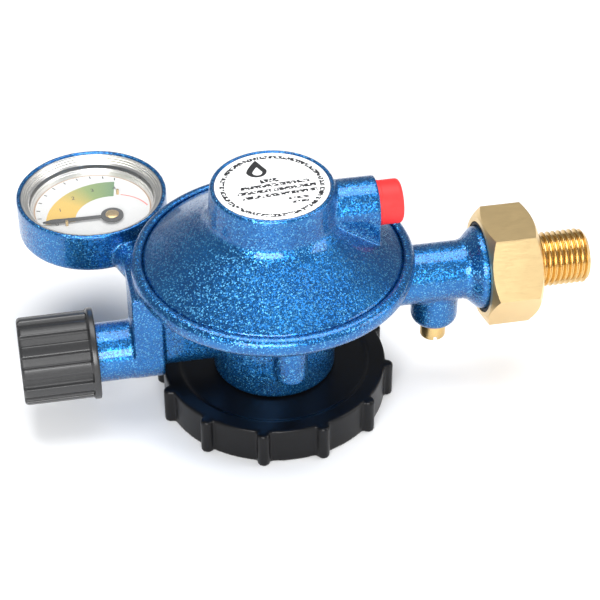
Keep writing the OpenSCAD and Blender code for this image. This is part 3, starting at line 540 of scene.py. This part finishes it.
# %% Window
def clear_window():
    f = Finish("clear_window")
    # painted reflection: the whitish colour becomes more opaque where the window is seen edge on
    edge = Value(f, f.node("ShaderNodeLayerWeight", inputs={"Blend": 0.5}).outputs["Facing"])
    haze = f.noise(5.0)
    colour = f.blend(haze, (0.93, 0.95, 0.96), (0.97, 0.98, 0.98))
    f.material.surface_render_method = "BLENDED"
    return f.done(colour=colour, rough=0.03 + 0.03 * haze, alpha=0.04 + 0.3 * edge ** 4.0)


window = clear_window()
ink_black = glossy_plastic("pointer_black", (0.010, 0.010, 0.011), 0.38, 2.0)
print(window.name, ink_black.name)

# %% [markdown]
# ## The lower casting
#
# The pan, the neck, the valve block with its barrel, the gauge's arm and cup, the outlet tube
# and the test boss are one aluminium casting. We build each as a closed shape, join them, cut
# the hollows, and let `cast` run a soft skin over the lot. That skin is what gives the small
# fillets where a barrel meets a block, which no sharp Boolean has.

# %% Lower casting: turned shapes
CASING_R, SEAM_R, CLAMP_R, CHAMBER_R = 33.0, 30.35, 31.3, 28.6
CLAMP_Z, FLANGE_Z, FLOOR_Z, NECK_Z, NECK_R = 37.0, 38.9, 25.0, 8.0, 14.6
BEAD_R = 1.9
CUP_R, CUP_TOP, CUP_LOW = 18.3, 37.5, 27.0

pan = turned("pan", [
    (0, NECK_Z), (NECK_R, NECK_Z, 0.4), (NECK_R, 21.8, 0.8), (15.8, 23.1, 0.6), (30.7, 34.3, 0.4),
    (31.1, 35.5), (CASING_R, 35.5, BEAD_R), (CASING_R, 40.2, BEAD_R), (SEAM_R, 40.2, 0.4),
    (SEAM_R, FLANGE_Z + 0.01), (0, FLANGE_Z + 0.01)], steps=192)
pan_hollow = turned("hollow", [
    (0, FLOOR_Z), (15, FLOOR_Z), (27.6, 34.4), (CHAMBER_R, 36), (CLAMP_R, 36),
    (CLAMP_R, FLANGE_Z), (SEAM_R, FLANGE_Z), (SEAM_R, 42), (0, 42)], steps=192)
cup = turned("cup", [
    (0, CUP_LOW), (CUP_R, CUP_LOW, 1.2), (CUP_R, CUP_TOP, 0.35), (0, CUP_TOP)],
    place=(gauge.x, gauge.y, 0), steps=160)
cup_hollow = turned("cup_hollow", [
    (0, 28.4), (16.3, 28.4), (16.3, 32.1), (17.3, 32.1), (17.3, 39), (0, 39)],
    place=(gauge.x, gauge.y, 0), steps=160)
tube = turned("tube", [
    (0, 16), (7.1, 16), (7.1, 45.6, 0.8), (7.5, 46.4), (9.9, 48.9, 0.5), (9.9, 51.5, 0.4),
    (8, 51.5), (8, 53.45), (7.2, 53.45), (7.2, 54.55), (8, 54.55), (8, 55.35), (6.7, 55.35),
    (6.7, 56.85), (8, 56.85), (8, 58.5, 0.3), (0, 58.5)],
    axis="X", place=(0, 0, outlet_z))
test_boss = turned("test_boss", [
    (0, 14.4), (5.7, 14.4, 2.4), (5.7, outlet_z), (0, outlet_z)], place=(test_x, 0, 0), steps=96)
print("the casting's turned shapes are on the bench")

# %% Lower casting: joined, cut and cast
BARREL_R, BLOCK_IN, BLOCK_OUT, BLOCK_HALF = 7.07, 27.0, 34.0, 7.2
CHANNEL_R, ARM_R, ARM_Z = 4.6, 4.0, 30
FEED_R, FEED_Z, RISER_R, RISER_X = 1.2, 18.6, 1.3, 30.5
NOZZLE_R, NOZZLE_Z, NOZZLE_WALL = 2.5, 31, 1.7
LUG_X, LUG_GAP, LUG_THICK = (-16.1, -12.9), 2.7, 1.4
barrel_end = -(abs(knob_high.x) + 3.5)
arm_from = Vector((-BLOCK_IN - 0.5, 6, ARM_Z))
arm_to = arm_from + 0.55 * (Vector((gauge.x, gauge.y, ARM_Z)) - arm_from)
outside = [
    bar(BARREL_R, (-BLOCK_IN, 0, valve_z), (barrel_end, 0, valve_z)),
    bar(CHANNEL_R, (-8, 0, valve_z), (-BLOCK_IN - 0.5, 0, valve_z)),
    bar(BLOCK_HALF, (-BLOCK_IN, 0, valve_z), (-BLOCK_OUT, 0, valve_z)),
    block((-BLOCK_OUT, -BLOCK_HALF, valve_z), (-BLOCK_IN, BLOCK_HALF, 36)),
    block((-BLOCK_IN - 1, -CHANNEL_R, valve_z), (-10, CHANNEL_R, valve_z + 10)),
    bar(NOZZLE_R + NOZZLE_WALL, (-22, 0, NOZZLE_Z), (-BLOCK_IN - 1, 0, NOZZLE_Z), 64),
    bar(ARM_R, arm_from, arm_to, 64),
    cup, tube, test_boss,
    bar(4.0, (1, -16.8, 16.6), (1, -16.8, 26), 64)]
bores = [
    pan_hollow, cup_hollow,
    bar(11.3, (0, 0, 7), (0, 0, 12)), bar(5.0, (0, 0, 11.5), (0, 0, 17.4)),
    bar(CHANNEL_R, (-28.6, 0, valve_z), (-47, 0, valve_z)),
    bar(FEED_R, (2, 0, FEED_Z), (-23.5, 0, FEED_Z), 32),
    bar(RISER_R, (-RISER_X, 0, valve_z), (-RISER_X, 0, NOZZLE_Z), 32),
    bar(NOZZLE_R, (-18, 0, NOZZLE_Z), (-BLOCK_IN - 1.5, 0, NOZZLE_Z), 48),
    bar(4.0, (17, 0, outlet_z), (60, 0, outlet_z)), bar(1.9, (test_x, 0, 13), (test_x, 0, 27), 32)]
casting = combine(pan, outside, "UNION")
combine(casting, bores, "DIFFERENCE")
for side in (-1, 1):
    middle_y = side * (LUG_GAP + LUG_THICK / 2)
    combine(casting, [block((LUG_X[0], middle_y - LUG_THICK / 2, FLOOR_Z - 0.2),
                            (LUG_X[1], middle_y + LUG_THICK / 2, 28.9))], "UNION")
cast(casting, 0.42, 3)
finish_piece(casting, "lower_casting", "casing", paint, ["lower_housing"])

# %% [markdown]
# ## The cover
#
# The cover is a cone with a spring tower, and the vent's boss grows out of both. It is built the
# same way: a turned shell, a boss with a round back, and the vent's bore.

# %% Cover
CONE_Z = 50.3


def inside_z(radius):
    """Height of the cover's inner face, parallel to the cone."""
    return 39.8 + 0.696 * (30.05 - radius) - 2.19


cover = turned("cover", [
    (0, FLANGE_Z - 1.9), (CLAMP_R, CLAMP_Z), (CLAMP_R, FLANGE_Z), (30.0, FLANGE_Z),
    (30.0, 39.85, 0.35), (16.1, 49.5, 1.3), (14.8, CONE_Z + 1.2, 0.6), (14.2, tower_top, 0.5),
    (0, tower_top)], steps=192)
cover_hollow = turned("cover_hollow", [
    (0, 36), (CHAMBER_R, 36), (CHAMBER_R, inside_z(CHAMBER_R)), (13.3, inside_z(13.3)),
    (11.5, CONE_Z + 0.8), (11.5, 57), (13.2, 57), (13.2, 62), (0, 62)], steps=192)
BOSS_R = 6.5
combine(cover, [bar(BOSS_R, (8, 0, vent_z), (24, 0, vent_z)),
                block((8, -BOSS_R, 39.95), (24, BOSS_R, vent_z))], "UNION")
combine(cover, [cover_hollow, bar(3.4, (5, 0, vent_z), (26, 0, vent_z), 64)], "DIFFERENCE")
cast(cover, 0.38, 3)
finish_piece(cover, "cover", "casing", paint, ["bonnet"])

# %% [markdown]
# ## The label
#
# A thin foil disc on the tower's cap. The print is in the material; the flame is a piece of its
# own, a drop cut from a circle whose top is drawn out to a point.

# %% Label and its flame
label = turned("label", [(0, label_low.z), (label_high.x, label_low.z),
                         (label_high.x, label_high.z, 0.06), (0, label_high.z)], steps=160)
finish_piece(label, "label_foil", "casing", label_face, ["label_disc"], 40)


def drop(name, width, height, thick):
    """A flat drop: a disc whose upper half is drawn in to a leaning point."""
    bm = bmesh.new()
    bmesh.ops.create_circle(bm, cap_ends=True, radius=width / 2, segments=48)
    for vert in bm.verts:
        rise = max(0.0, vert.co.y / (width / 2))
        vert.co.x = vert.co.x * max(0.0, 1 - rise) ** 0.45 + 0.18 * width * rise ** 2
        vert.co.y += (height - width) * rise ** 1.5
    lifted = bmesh.ops.extrude_face_region(bm, geom=bm.faces[:])
    top = [item for item in lifted["geom"] if isinstance(item, bmesh.types.BMVert)]
    bmesh.ops.translate(bm, vec=(0, 0, thick), verts=top)
    bmesh.ops.recalc_face_normals(bm, faces=bm.faces)
    return as_object(bm, name)


flame = drop("flame", 4.8, 6.6, 0.03)
heart = drop("heart", 2.3, 3.2, 0.2)
heart.data.transform(Matrix.Translation((0.1, -0.5, -0.05)))
combine(flame, [heart], "DIFFERENCE")
flame.data.transform(Matrix.Translation((-2.6, 6.2, label_high.z)) @ Matrix.Rotation(0.1, 4, "Z"))
finish_piece(flame, "label_flame", "casing", ink_black, sharp=40)

# %% [markdown]
# ## The hand wheel
#
# A shallow black cup with twelve grips like round posts. The posts are joined to the skirt
# before casting, so that they flow into it. Webs under the plate stiffen it, and the hexagon
# hole drives the coupling bolt.

# %% Hand wheel
SKIRT_R, WALL, GRIP_R, GRIP_AT, GRIPS = 26.9, 2.2, 1.5, 27.3, 12
FIRST_GRIP = math.radians(-105.3)
top_z, foot_z = wheel_high.z, wheel_low.z
wheel = turned("wheel", [
    (0, 6.2), (SKIRT_R - WALL, 6.2), (SKIRT_R - WALL, foot_z), (SKIRT_R, foot_z),
    (SKIRT_R, top_z, 0.5), (23.0, top_z, 0.2), (22.4, 7.7, 0.2), (0, 7.7)], steps=192)
for k in range(GRIPS):
    turn = FIRST_GRIP + math.tau * k / GRIPS
    out = Vector((math.cos(turn), math.sin(turn), 0))
    post = turned("post", [(0, foot_z), (GRIP_R, foot_z, 0.3), (GRIP_R, top_z, 0.7), (0, top_z)],
                  place=out * GRIP_AT, steps=32)
    root = block((GRIP_AT - 2.6, -GRIP_R, foot_z), (GRIP_AT, GRIP_R, top_z - 0.25), turn)
    combine(wheel, [post, root], "UNION")
for k in range(6):
    combine(wheel, [block((15, -0.7, 3.2), (25.5, 0.7, 6.5), math.radians(60 * k + 14.7))],
            "UNION")
combine(wheel, [bar(9 / math.cos(math.radians(30)), (0, 0, 5), (0, 0, 9), 6)], "DIFFERENCE")
cast(wheel, 0.36, 2)
finish_piece(wheel, "hand_wheel_grip", "hand_wheel", wheel_plastic, ["handwheel"])

# %% [markdown]
# ## The shut-off knob
#
# A ribbed grip with a plain flange at its open end. Twelve broad ribs stand just under a
# millimetre over the grooves. It is small, so its skin is finer.

# %% Shut-off knob
GROOVE_R, RIB_R, RIB_HALF, RIBS = 9.5, 10.4, 1.35, 12
open_end, far_end = knob_high.x, knob_low.x
knob = turned("knob", [
    (0, far_end), (GROOVE_R, far_end, 0.8), (GROOVE_R, open_end - 1.6), (10.9, open_end - 1.6, 0.3),
    (10.9, open_end, 0.3), (0, open_end)], axis="X", place=(0, 0, valve_z), steps=160)
rib_blank = turned("ribs", [
    (0, far_end + 0.02), (RIB_R, far_end + 0.02, 0.9), (RIB_R, open_end - 1.2),
    (0, open_end - 1.2)], axis="X", place=(0, 0, valve_z), steps=160)
rib_cut = block((far_end - 1, -RIB_HALF, valve_z + 7), (open_end, RIB_HALF, valve_z + 12))
rib_set = bmesh.new()
for k in range(RIBS):
    held = len(rib_set.verts)
    rib_set.from_mesh(rib_cut.data)
    rib_set.verts.ensure_lookup_table()
    bmesh.ops.rotate(rib_set, cent=(0, 0, valve_z), verts=rib_set.verts[held:],
                     matrix=Matrix.Rotation(math.radians(128.8 + 30 * k), 3, "X"))
bpy.data.objects.remove(rib_cut)
combine(rib_blank, [as_object(rib_set, "rib_set")], "INTERSECT")
combine(knob, [rib_blank], "UNION")
combine(knob, [
    bar(7.57, (open_end + 1, 0, valve_z), (-49, 0, valve_z)),
    bar(2.02, (open_end, 0, valve_z), (far_end - 1, 0, valve_z), 48),
    bar(3.2, (-58.2, 0, valve_z), (far_end - 1, 0, valve_z), 64)], "DIFFERENCE")
cast(knob, 0.23, 2)
finish_piece(knob, "valve_knob", "shutoff_grip", knob_plastic, ["shutoff_knob"])

# %% [markdown]
# ## The brass outlet
#
# The hexagon is a six-sided bar kept only where it meets a turned body with cone-shaped ends;
# where the two surfaces cross, the curved chamfers of a real nut appear by themselves. Its
# edges are then broken by a narrow bevel.
#
# The thread is a true helix. One pitch of its outline is spun while it is moved along, so each
# turn joins the next, and it is trimmed by a turned blank that gives the end its chamfer. Many gas
# fittings have left-hand threads, so the helix is turned backwards.

# %% Outlet hexagon
HEX_AF, WIPER_R, BORE_R = 25.0, 11.0, 4.0
CORNER_R = HEX_AF / 2 / math.cos(math.radians(30))
hex_in, hex_out, thread_end = hex_low.x, 62.5, hex_high.x
flare = (CORNER_R - HEX_AF / 2) * 0.75
nut_blank = turned("nut_blank", [
    (0, hex_in), (HEX_AF / 2 - 0.35, hex_in), (CORNER_R, hex_in + flare),
    (CORNER_R, hex_out - flare), (HEX_AF / 2 - 0.35, hex_out), (0, hex_out)],
    axis="X", place=(0, 0, outlet_z), steps=192)
nut = combine(bar(CORNER_R, (hex_in - 1, 0, outlet_z), (hex_out + 1, 0, outlet_z), 6,
                  turn=math.radians(30)), [nut_blank], "INTERSECT")
combine(nut, [turned("seat", [
    (0, 49), (WIPER_R, 49), (WIPER_R, 52.4), (8.05, 52.4), (8.05, 58.8), (BORE_R, 58.8),
    (BORE_R, 64), (0, 64)], axis="X", place=(0, 0, outlet_z))], "DIFFERENCE")
edges = nut.modifiers.new("broken_edges", "BEVEL")
edges.width, edges.segments, edges.limit_method = 0.16, 2, "ANGLE"
edges.angle_limit = math.radians(28)
settle(nut)
finish_piece(nut, "outlet_hexagon", "outlet_swivel", brass_hex, ["outlet_connector"], 32)

# %% Outlet thread
PITCH, THREAD_R, THREAD_DEPTH, TURN_STEPS = 1.337, 6.58, 0.78, 60


def threaded(name, radius, pitch, depth, start, end, hand):
    """A closed screw surface from start to end along Z. hand is 1 for right, -1 for left."""
    outline = [(0.0, depth), (0.12, depth), (0.44, 0.06), (0.50, 0.0), (0.56, 0.0), (0.62, 0.06),
               (0.94, depth)]
    turns = math.ceil((end - start) / pitch) + 1
    bm = bmesh.new()
    line = [bm.verts.new((radius - down, 0, start + along * pitch)) for along, down in outline]
    line.append(bm.verts.new((radius - depth, 0, start + pitch)))
    for pair in zip(line, line[1:]):
        bm.edges.new(pair)
    bmesh.ops.spin(bm, geom=bm.verts[:] + bm.edges[:], cent=(0, 0, 0), axis=(0, 0, 1),
                   dvec=(0, 0, pitch / TURN_STEPS), angle=hand * math.tau * turns,
                   steps=TURN_STEPS * turns, use_merge=False)
    bmesh.ops.remove_doubles(bm, verts=bm.verts, dist=1e-4)
    open_edges = [edge for edge in bm.edges if edge.is_boundary]
    caps = bmesh.ops.holes_fill(bm, edges=open_edges, sides=0)["faces"]
    bmesh.ops.poke(bm, faces=caps)
    bmesh.ops.recalc_face_normals(bm, faces=bm.faces)
    return as_object(bm, name)


screw = threaded("screw", THREAD_R, PITCH, THREAD_DEPTH, 58.0, 79.0, -1)
screw.data.transform(Matrix.Translation((0, 0, outlet_z)) @ oriented("X"))
blank = turned("blank", [
    (BORE_R, hex_out - 0.3), (THREAD_R - 0.62, hex_out - 0.3), (THREAD_R - 0.62, hex_out + 0.9),
    (THREAD_R, hex_out + 1.5), (THREAD_R, thread_end - 0.9), (THREAD_R - 0.9, thread_end),
    (BORE_R + 0.4, thread_end), (BORE_R, thread_end - 0.4)],
    axis="X", place=(0, 0, outlet_z), steps=120)
combine(screw, [blank], "INTERSECT")
finish_piece(screw, "outlet_thread", "outlet_swivel", brass_thread, ["outlet_connector"],
             50)

# %% [markdown]
# ## Small turned pieces
#
# The rubber ring behind the hexagon, the red vent cap, the test screw, the bezel with its steps
# down to the window, the ring under the window, and the window itself are all turned work.

# %% Small turned pieces
wiper_low, wiper_high = box_mm("outlet_wiper_ring")
wiper = turned("wiper", [
    (10.05, wiper_low.x, 0.2), (WIPER_R, wiper_low.x, 0.35), (WIPER_R, wiper_high.x),
    (10.05, wiper_high.x)], axis="X", place=(0, 0, outlet_z))
finish_piece(wiper, "wiper_ring", "outlet_swivel", black_rubber, ["outlet_wiper_ring"], 50)

CAP_R = 5.3
cap_face, cap_end = 24.05, vent_high.x
cap = turned("cap", [
    (2.2, vent_low.x), (3.35, vent_low.x, 0.25), (3.35, cap_face), (CAP_R, cap_face, 0.15),
    (CAP_R, cap_face + 0.8, 0.1), (CAP_R - 0.1, cap_face + 0.95, 0.1), (CAP_R - 0.1, cap_end, 0.9),
    (3.6, cap_end, 0.2), (3.3, cap_end - 0.25, 0.2), (0, cap_end - 0.25), (0, 24.6), (2.2, 24.6)],
    axis="X", place=(0, 0, vent_z), steps=96)
finish_piece(cap, "vent_plug", "vent_plug", cap_red, ["vent_cap"], 50)

test_low, test_high = box_mm("test_screw")
screw_body = turned("test", [
    (0, test_low.z), (3.1, test_low.z, 0.5), (3.1, 13.85, 0.12), (1.85, 13.85),
    (1.85, test_high.z), (0, test_high.z)], place=(test_x, 0, 0), steps=72)
combine(screw_body, [block((test_x - 0.5, -4, test_low.z - 1), (test_x + 0.5, 4, test_low.z + 1.2))],
        "DIFFERENCE")
finish_piece(screw_body, "test_plug", "casing", brass_plain, ["test_screw"], 40)

ring_low, ring_high = box_mm("gauge_ring")
BEZEL_R = ring_high.x - gauge.x
MOUTH_R, THROAT_R, STEPS = 16.75, 15.25, 4
step_in = (MOUTH_R - THROAT_R) / STEPS
step_down = (ring_high.z - ring_low.z) / STEPS
steps_down = [(BEZEL_R, ring_low.z), (BEZEL_R, ring_high.z, 0.1), (MOUTH_R, ring_high.z, 0.1)]
for k in range(1, STEPS):
    edge, height = MOUTH_R - step_in * k, ring_high.z - step_down * k
    steps_down += [(edge + 0.85 * step_in, height + 0.1, 0.06), (edge, height, 0.06)]
steps_down.append((THROAT_R, ring_low.z))
bezel = turned("bezel", steps_down, place=(gauge.x, gauge.y, 0), steps=192)
finish_piece(bezel, "gauge_bezel", "casing", bezel_metal, ["gauge_ring"], 50)

spacer_low, spacer_high = box_mm("gauge_spacer")
under = turned("under", [
    (BEZEL_R, spacer_low.z), (BEZEL_R, spacer_high.z), (14.95, spacer_high.z, 0.1),
    (14.75, spacer_high.z - 0.5, 0.1), (14.6, spacer_high.z - 0.55, 0.1), (14.3, spacer_low.z)],
    place=(gauge.x, gauge.y, 0), steps=192)
finish_piece(under, "window_ring", "casing", bezel_metal, ["gauge_spacer"], 50)

lens_low, lens_high = box_mm("gauge_lens")
pane = turned("pane", [(0, lens_low.z), (BEZEL_R - 0.02, lens_low.z, 0.1),
                       (BEZEL_R - 0.02, lens_high.z, 0.1), (0, lens_high.z)],
              place=(gauge.x, gauge.y, 0), steps=160)
finish_piece(pane, "gauge_window", "casing", window, ["gauge_lens"], 40)

dial_low, dial_high = box_mm("gauge_dial")
card = turned("card", [(0, dial_low.z), (BEZEL_R - 0.02, dial_low.z),
                       (BEZEL_R - 0.02, dial_high.z), (0, dial_high.z)],
              place=(gauge.x, gauge.y, 0), steps=160)
combine(card, [bar(1.0, (pivot.x, pivot.y, dial_low.z - 1), (pivot.x, pivot.y, dial_high.z + 1), 48)],
        "DIFFERENCE")
finish_piece(card, "dial_card", "casing", dial_face, ["gauge_dial"], 40)

# %% [markdown]
# ## Dial figures, pointer and rivet
#
# The figures are flat text, made a mesh and laid on the card. The pointer is a blade that is
# widest near its tip, joined to a hub, and the rivet is a low brass dome.

# %% Dial figures
FIGURES, FIGURE_SIZE, END_INSET = "01234", 1.9, 0.2


def figure(sign, size, place, turn):
    """A flat figure as a mesh, lying at a place and turned a little."""
    curve = bpy.data.curves.new("figure_" + sign, "FONT")
    curve.body, curve.size = sign, size
    curve.align_x, curve.align_y = "CENTER", "CENTER"
    curve.extrude = 0.01
    source = bpy.data.objects.new("figure_" + sign, curve)
    bpy.context.scene.collection.objects.link(source)
    depsgraph = bpy.context.evaluated_depsgraph_get()
    mesh = bpy.data.meshes.new_from_object(source.evaluated_get(depsgraph))
    bpy.data.objects.remove(source)
    mesh.transform(Matrix.Translation(place) @ Matrix.Rotation(turn, 4, "Z"))
    made = bpy.data.objects.new("figure_" + sign, mesh)
    bpy.context.scene.collection.objects.link(made)
    return made


for number, sign in enumerate(FIGURES):
    share = number / (len(FIGURES) - 1)
    heading = BAND_TO + share * (BAND_FROM - BAND_TO)
    aim = Vector((math.cos(heading), math.sin(heading)))
    reach = 13.7 - 1.1 * share
    if share in (0, 1):
        reach -= END_INSET
    spot = Vector((pivot.x, pivot.y)) + aim * reach
    made = figure(sign, FIGURE_SIZE, (spot.x, spot.y, dial_high.z + 0.012), math.radians(4))
    finish_piece(made, "dial_figure_" + sign, "casing", ink_black)

# %% Pointer and rivet
hub_low, hub_high = box_mm("gauge_pointer")
POINTER_L, HUB_R = pivot.x - hub_low.x, 2.75
blade = bmesh.new()
outline = [(0, 0.42), (-POINTER_L * 0.45, 0.46), (-POINTER_L * 0.86, 0.74), (-POINTER_L, 0.06)]
rim = [blade.verts.new((x, y, 0)) for x, y in outline + [(x, -y) for x, y in outline[::-1]]]
face = blade.faces.new(rim)
raised = bmesh.ops.extrude_face_region(blade, geom=[face])["geom"]
bmesh.ops.translate(blade, vec=(0, 0, 0.4),
                    verts=[item for item in raised if isinstance(item, bmesh.types.BMVert)])
bmesh.ops.recalc_face_normals(blade, faces=blade.faces)
pointer = as_object(blade, "pointer")
pointer.data.transform(Matrix.Translation((pivot.x, pivot.y, hub_low.z)))
hub = turned("hub", [(0.6, hub_low.z), (HUB_R, hub_low.z, 0.1), (HUB_R, hub_high.z, 0.15),
                     (0.6, hub_high.z)], place=(pivot.x, pivot.y, 0), steps=72)
combine(pointer, [hub], "UNION")
finish_piece(pointer, "pointer_blade", "pointer", ink_black, ["gauge_pointer"], 35)

arbor_low, arbor_high = box_mm("pointer_arbor")
rivet = turned("rivet", [
    (0, arbor_low.z), (0.59, arbor_low.z), (0.59, 29.4), (1.2, 29.4), (1.2, 30.2), (0.59, 30.2),
    (0.59, hub_high.z), (1.65, hub_high.z), (1.62, hub_high.z + 0.1, 0.05),
    (0.9, arbor_high.z, 0.3), (0, arbor_high.z)], place=(pivot.x, pivot.y, 0), steps=64)
finish_piece(rivet, "pointer_rivet", "pointer", brass_plain, ["pointer_arbor"], 40)

# %% [markdown]
# ## The coupling bolt
#
# Seen from below, the hand wheel's centre holds the steel bolt that screws into the bottle's
# valve. Its thread is left-handed too, and coarse, so it is made with the same screw helper.

# %% Coupling bolt
BOLT_PITCH, BOLT_R = 1.5, 8.0
bolt_low, bolt_high = box_mm("coupling_bolt")
bolt = threaded("bolt", BOLT_R, BOLT_PITCH, 0.85, bolt_low.z - 3, 9.0, -1)
bolt_blank = turned("bolt_blank", [
    (0, bolt_low.z), (BOLT_R - 0.9, bolt_low.z), (BOLT_R, bolt_low.z + 0.9), (BOLT_R, 4.9),
    (BOLT_R - 0.9, 5.6), (BOLT_R - 0.9, 6.3), (0, 6.3)], steps=120)
combine(bolt, [bolt_blank], "INTERSECT")
combine(bolt, [bar(9 / math.cos(math.radians(30)) - 0.04, (0, 0, 6.15), (0, 0, 8.15), 6),
               turned("head", [(0, 8.1), (11, 8.1, 0.2), (11, bolt_high.z, 0.3),
                               (0, bolt_high.z)])], "UNION")
combine(bolt, [turned("way", [(0, -3), (6.8, -3), (6.8, 2.75), (5.03, 2.75), (5.03, 14), (0, 14)])],
        "DIFFERENCE")
finish_piece(bolt, "coupling_screw", "hand_wheel", steel, ["coupling_bolt"], 40)

# %% [markdown]
# ## Finishes for the nodes that stay
#
# The parts inside the casing, and a few small ones outside it, keep their exact shapes from the
# frame. Each gets a finish that suits what it is made of.

# %% Finishes for the frame's nodes
FINISH_OF = {
    paint: ["tower_cap"],
    brass_plain: ["adjusting_screw", "diaphragm_stem", "inlet_nozzle", "shutoff_spindle",
                  "spindle_gland", "inlet_nipple", "stop_pins", "movement_plate", "sector_gear",
                  "gauge_link", "bourdon_socket"],
    spring_steel: ["main_spring", "relief_spring", "outlet_snap_ring"],
    steel: ["diaphragm_plate", "stem_nut", "lever", "lever_pin", "vent_screen", "knob_screw",
            "opening_pin"],
    black_rubber: ["diaphragm", "seat_pad", "outlet_o_ring", "spindle_o_ring", "shutoff_pad",
                   "inlet_seal"],
    white_plastic: ["pad_holder", "coupling_washer"],
    copper: ["test_washer"],
    bronze: ["bourdon_tube"],
    mesh_bronze: ["inlet_filter"],
}
for finish, names in FINISH_OF.items():
    for name in names:
        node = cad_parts[name]
        node.data.materials.clear()
        node.data.materials.append(finish)
kept = sum(len(names) for names in FINISH_OF.values())
print("nodes kept from the frame:", kept)

# %% [markdown]
# ## Floor, light and camera
#
# A catalogue portrait: a plain pale floor, a wide soft box overhead, a second one at the front
# left that draws the long highlights on the barrels, and a weak fill from the right. The camera
# has a long lens, so the shapes keep their proportions.

# %% Floor and light
floor_mesh = bmesh.new()
bmesh.ops.create_grid(floor_mesh, x_segments=1, y_segments=1, size=3.0)
bmesh.ops.translate(floor_mesh, vec=(0, 0, cad_box[0].z - 0.0002), verts=floor_mesh.verts)
floor = as_object(floor_mesh, "floor")
pale = Finish("pale_floor")
floor.data.materials.append(pale.done(
    colour=pale.blend(pale.noise(180.0), (0.90, 0.90, 0.90), (0.93, 0.93, 0.93)), rough=0.65))


def soft_box(name, place, aim, size, power):
    light = bpy.data.lights.new(name, "AREA")
    light.shape, light.size, light.size_y, light.energy = "RECTANGLE", size[0], size[1], power
    made = bpy.data.objects.new(name, light)
    made.location = place
    made.rotation_mode = "QUATERNION"
    made.rotation_quaternion = (Vector(place) - Vector(aim)).to_track_quat("Z", "Y")
    bpy.context.scene.collection.objects.link(made)


target = (0.01, 0, 0.03)
soft_box("top_box", (0.05, 0.12, 0.75), target, (0.7, 0.5), 5.6)
soft_box("front_box", (-0.18, -0.62, 0.34), target, (0.5, 0.35), 6.6)
soft_box("right_fill", (0.62, -0.25, 0.28), target, (0.3, 0.4), 1.8)
world = bpy.data.worlds.new("studio")
world.use_nodes = True
world.node_tree.nodes["Background"].inputs["Color"].default_value = (0.93, 0.96, 1.0, 1)
world.node_tree.nodes["Background"].inputs["Strength"].default_value = 0.34
bpy.context.scene.world = world

# %% Camera
SWING, RISE, FAR = math.radians(10.74), math.radians(38.8), 454.77
back = Vector((-math.sin(SWING) * math.cos(RISE), -math.cos(SWING) * math.cos(RISE),
               math.sin(RISE)))
right = Vector((math.cos(SWING), -math.sin(SWING), 0))
up = back.cross(right)
lens = bpy.data.cameras.new("portrait")
lens.lens, lens.sensor_width = 111.1, 36.0
camera = bpy.data.objects.new("portrait", lens)
camera.rotation_mode = "QUATERNION"
camera.rotation_quaternion = Matrix((right, up, back)).transposed().to_quaternion()
camera.location = (back * FAR + right * 6.27 + up * 21.01 - Vector((0, 0, 1))) * MM
lens.clip_start, lens.clip_end = 0.01, 10
bpy.context.scene.collection.objects.link(camera)
bpy.context.scene.camera = camera
bpy.context.scene.view_settings.view_transform = "Standard"
print("camera at", [round(c, 3) for c in camera.location])
